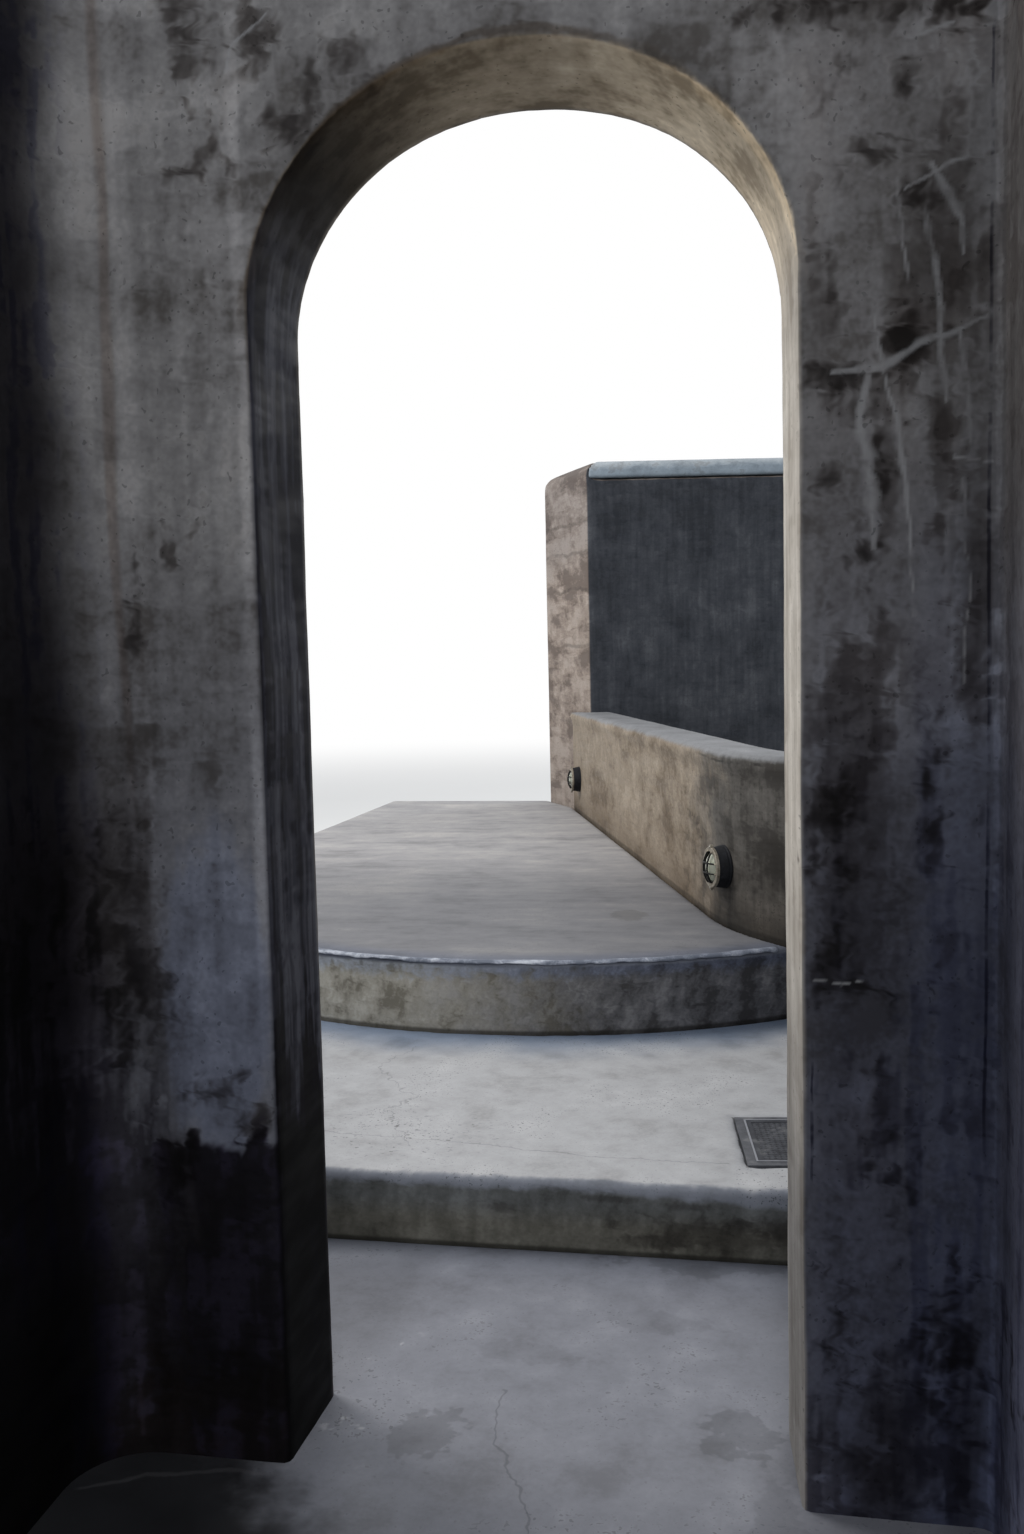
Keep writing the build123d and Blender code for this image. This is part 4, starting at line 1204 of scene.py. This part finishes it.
def passage_slab():
    """Screed slab that runs on under the walls, so that no gap opens beside them."""
    low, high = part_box("passage_floor")
    work = bmesh.new()
    bmesh.ops.create_cube(work, size=1.0)
    for vert in work.verts:
        vert.co = Vector([low[i] + (vert.co[i] + 0.5) * (high[i] - low[i]) for i in range(3)])
    piece = link(closed(work, bpy.data.meshes.new("passage_slab")), "passage_floor_screed")
    even_cells(piece, 0.012)
    add_tree(piece, HAND_LAID, {"Broad Depth": 0.0025, "Broad Size": 0.4, "Trowel Depth": 0.0008,
                                "Trowel Size": 0.12, "Seed": 41.0, "Material": PASSAGE})
    settle(piece)
    close_underside(piece)
    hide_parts("passage_floor")
    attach(piece, "root")


def terrace_lip():
    """Thin ragged edge of light screed, turned down over the round riser."""
    steps = 260
    start, end = math.radians(196), math.radians(303.5)
    work = bmesh.new()
    rings = []
    for i in range(steps + 1):
        angle = start + (end - start) * i / steps
        along = angle * NOSE_R
        ragged = 0.010 * noise.noise(Vector((along * 7.0, 0.3, 2.0)))
        ragged += 0.006 * noise.noise(Vector((along * 29.0, 4.0, 1.0)))
        inner = 0.014 * noise.noise(Vector((along * 5.0, 7.0, 3.0)))
        drop = max(0.0095 + 0.7 * ragged, 0.0045)
        outline = ((-0.026 + inner, -0.003), (-0.023 + inner, 0.0004), (-0.013, 0.0007), (-0.006, -0.0006),
                   (-0.0012, -0.003), (0.0012, -drop * 0.55), (0.0014, -drop * 0.8), (0.0004, -drop),
                   (-0.010, -drop - 0.001), (-0.022, -0.010))
        radial = Vector((math.cos(angle), math.sin(angle)))
        ring = []
        for out_by, up_by in outline:
            spot = NOSE_MIDDLE + radial * (NOSE_R + SCREED_LIP + out_by)
            ring.append(work.verts.new((spot.x, spot.y, TERRACE_Z + up_by)))
        rings.append(ring)
    join_rings(work, rings)
    work.faces.new(rings[0])
    work.faces.new(list(reversed(rings[-1])))
    piece = smooth_piece(work, "terrace_lip", LIP)
    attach(piece, "root")


def join_rings(work, rings):
    """Faces between closed rings of the same number of points."""
    count = len(rings[0])
    for a, b in zip(rings, rings[1:]):
        for k in range(count):
            work.faces.new((a[k], a[(k + 1) % count], b[(k + 1) % count], b[k]))


passage_slab()
terrace_lip()


# Drain cover

def drain():
    """Chequered ribs on the sunk plate, and iron on the built plate and frame."""
    ribs = link(bpy.data.meshes.new("drain_ribs"), "drain_cover_ribs")
    add_tree(ribs, CHEQUER, {"Side": 0.2465, "Count": 18, "Rib Length": 0.0125, "Rib Width": 0.0021,
                             "Material": RIB_IRON})
    settle(ribs)
    sunk_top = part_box("drain_cover")[1].z - 0.002
    turn = Matrix.Rotation(DRAIN_TURN, 4, "Z")
    place_mesh(ribs, Matrix.Translation((DRAIN.x, DRAIN.y, sunk_top + 0.0005)) @ turn)
    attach(ribs, "root")
    set_node_material("drain_cover", PLATE_IRON)
    set_node_material("drain_frame", FRAME_IRON)


drain()


# Lamps

def lathe(name, outline, material, steps=64, flutes=0, flute_rows=(), flute_depth=0.0):
    """Turned piece about Z from an outline of (radius, height) points, some rows drawn into flutes."""
    work = bmesh.new()
    rows = []
    for index, (radius, height) in enumerate(outline):
        row = []
        for k in range(steps):
            angle = 2 * math.pi * k / steps
            dip = flute_depth * (0.5 - 0.5 * math.cos(flutes * angle)) if index in flute_rows else 0.0
            row.append(work.verts.new((radius * math.cos(angle), radius * math.sin(angle), height + dip)))
        rows.append(row)
    join_rings(work, rows)
    bmesh.ops.remove_doubles(work, verts=work.verts, dist=1e-6)
    return smooth_piece(work, name, material)


def lamp_matrix(spot, angle):
    """Frame of a lamp: Z looks out of the wall, Y is up."""
    outward = Vector((math.cos(angle), math.sin(angle), 0.0))
    up = Vector((0.0, 0.0, 1.0))
    columns = (up.cross(outward), up, outward, Vector((spot.x, spot.y, LAMP_Z)))
    matrix = Matrix.Identity(4)
    for row in range(3):
        for column in range(4):
            matrix[row][column] = columns[column][row]
    return matrix


def dome(rim, bulge):
    """Outline of a spherical cap on the lamp's front, from its middle to its rim."""
    ball = (rim * rim + bulge * bulge) / (2 * bulge)
    outline = []
    for k in range(13):
        radius = rim * k / 12
        rise = bulge - ball + math.sqrt(max(ball * ball - radius * radius, 0.0))
        outline.append((radius, LAMP_DEPTH + rise))
    return outline


def lens(name):
    """Domed glass, smooth outside, with upright prisms inside its rim."""
    outline = dome(GLASS_R, GLASS_BULGE) + dome(GLASS_R - GLASS_T, GLASS_BULGE - GLASS_T)[::-1]
    return lathe(name, outline, LENS, steps=216, flutes=36, flute_rows=range(14, 20), flute_depth=0.0009)


def screw(name):
    """Pan head, in the lug's own frame."""
    outline = ((0.0, 0.0), (0.0045, 0.0), (0.0045, 0.0012), (0.0036, 0.0024), (0.0018, 0.0029),
               (0.0, 0.0029))
    return lathe(name, outline, STEEL, 20)


def bulb(name):
    """Low round bulb that stands on the bowl."""
    outline = []
    for k in range(11):
        angle = math.pi * k / 10
        outline.append((0.017 * math.sin(angle), LAMP_DEPTH + 0.0022 + 0.0065 * (1 - math.cos(angle))))
    return lathe(name, outline, BOWL, 32)


def lamp(name, spot, angle):
    """Gasket, bowl, bulb, glass and screws of one lamp, and finishes on its built housing and guard."""
    matrix = lamp_matrix(spot, angle)
    gasket_inner = LAMP_R - 0.012
    gasket = lathe(name + "_gasket", (
        (gasket_inner, -0.009), (LAMP_R + 0.0015, -0.009), (LAMP_R + 0.0022, -0.001),
        (LAMP_R + 0.0015, 0.0045), (LAMP_R - 0.001, 0.005), (gasket_inner, 0.002),
        (gasket_inner, -0.009)), BLACK, 72)
    bowl = lathe(name + "_bowl", (
        (0.0, LAMP_DEPTH + 0.0004), (0.0515, LAMP_DEPTH + 0.0004), (0.0515, LAMP_DEPTH + 0.002),
        (0.044, LAMP_DEPTH + 0.0012), (0.0, LAMP_DEPTH + 0.0010)), BOWL, 64)
    globe = bulb(name + "_bulb")
    cover = lens(name + "_lens")
    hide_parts(name + "_glass")
    pieces = [(gasket, "lamp_housing"), (bowl, "lamp_housing"), (globe, "lamp_glass"), (cover, "lamp_glass")]
    for label, side in (("top", 1), ("foot", -1)):
        head = screw("%s_screw_%s" % (name, label))
        place_mesh(head, Matrix.Translation((0.0, side * (LAMP_R - 0.0035), LAMP_DEPTH + 0.011)))
        pieces.append((head, "lamp_guard"))
    for piece, slot in pieces:
        place_mesh(piece, matrix)
        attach(piece, "root")
    set_node_material(name + "_housing", BLACK)
    set_node_material(name + "_guard", BRONZE)


lamp("lamp_near", *LAMP_PLACES[0])
lamp("lamp_far", *LAMP_PLACES[1])


# Studio

def seen_directly(g):
    """1 for rays that show a surface to the eye, also in a reflection or through glass."""
    paths = g.put("ShaderNodeLightPath").outputs
    return g.most(paths["Is Camera Ray"], g.most(paths["Is Glossy Ray"], paths["Is Transmission Ray"]))


def mixed(g, amount, first, second, end):
    """Mixes two shaders into an output node's surface."""
    mix = g.put("ShaderNodeMixShader")
    g.fill(mix, (amount, first.outputs[0], second.outputs[0]))
    g.feed(g.put(end).inputs["Surface"], mix.outputs[0])


def stage_floor():
    """Pale floor that runs out into the white backdrop far from the object."""
    mesh = bpy.data.meshes.new("stage_floor")
    reach = 60.0
    corners = [(-reach, -reach, 0), (reach, -reach, 0), (reach, reach, 0), (-reach, reach, 0)]
    mesh.from_pydata(corners, [], [(0, 1, 2, 3)])
    floor = link(mesh, "stage_floor")
    material = bpy.data.materials.new("studio_floor")
    material.use_nodes = True
    g = Graph(material.node_tree)
    g.tree.nodes.clear()
    place = g.put("ShaderNodeTexCoord").outputs["Object"]
    paint = g.put("ShaderNodeBsdfPrincipled")
    pale = g.blend(g.noise(place, 0.8, 3.0), (0.80, 0.80, 0.79, 1.0), (0.84, 0.84, 0.83, 1.0))
    g.feed(paint.inputs["Base Color"], pale)
    paint.inputs["Roughness"].default_value = 0.8
    far = g.step(g.vector("DISTANCE", place, (0.0, 3.0, 0.0)), 6.0, 20.0)
    mixed(g, g.times(far, seen_directly(g)), paint, g.put("ShaderNodeEmission"), "ShaderNodeOutputMaterial")
    mesh.materials.append(material)


def soft_lamp(name, place, aim, size, power, color):
    """Round area lamp that looks at a point."""
    data = bpy.data.lights.new(name, "AREA")
    data.shape = "DISK"
    data.size = size
    data.energy = power
    data.color = color
    lamp_object = link(data, name)
    lamp_object.location = place
    lamp_object.rotation_euler = (Vector(aim) - Vector(place)).to_track_quat("-Z", "Y").to_euler()


def background(g, color, strength):
    """Even light of one colour from all round."""
    node = g.put("ShaderNodeBackground")
    node.inputs["Color"].default_value = color
    node.inputs["Strength"].default_value = strength
    return node


def studio_world():
    """Soft cool fill on the object, in front of a plain white backdrop."""
    world = bpy.data.worlds.new("studio_world")
    world.use_nodes = True
    g = Graph(world.node_tree)
    g.tree.nodes.clear()
    fill = background(g, (0.93, 0.96, 1.0, 1.0), 0.62)
    backdrop = background(g, (1.0, 1.0, 1.0, 1.0), 1.0)
    mixed(g, seen_directly(g), fill, backdrop, "ShaderNodeOutputWorld")
    bpy.context.scene.world = world


def photo_camera():
    """Camera at the photograph's place: eye height, turned left, tipped down and leaning a little."""
    eye = Vector((0.400, -2.207, 1.4925))
    left, down, lean = math.radians(10.67), math.radians(4.65), math.radians(1.28)
    ahead = Vector((-math.sin(left) * math.cos(down), math.cos(left) * math.cos(down), -math.sin(down)))
    level = Vector((math.cos(left), math.sin(left), 0.0))
    below = ahead.cross(level)
    right = level * math.cos(lean) + below * math.sin(lean)
    under = below * math.cos(lean) - level * math.sin(lean)
    data = bpy.data.cameras.new("photo_camera")
    data.lens = 31.68
    data.sensor_width = 36.0
    data.clip_start = 0.02
    data.clip_end = 300.0
    camera = link(data, "photo_camera")
    camera.matrix_world = Matrix((
        (right.x, -under.x, -ahead.x, eye.x), (right.y, -under.y, -ahead.y, eye.y),
        (right.z, -under.z, -ahead.z, eye.z), (0.0, 0.0, 0.0, 1.0)))
    bpy.context.scene.camera = camera


stage_floor()
studio_world()
soft_lamp("front_softbox", (1.2, -6.5, 5.5), (0.0, 0.0, 1.6), 3.0, 230.0, (1.0, 0.985, 0.96))
soft_lamp("left_softbox", (-5.0, 3.2, 6.5), (0.2, 2.2, 0.6), 3.5, 420.0, (1.0, 0.97, 0.92))
soft_lamp("back_softbox", (3.5, 12.0, 6.0), (-0.5, 5.0, 1.0), 4.0, 200.0, (0.95, 0.97, 1.0))
photo_camera()
bpy.context.scene.view_settings.view_transform = "Standard"
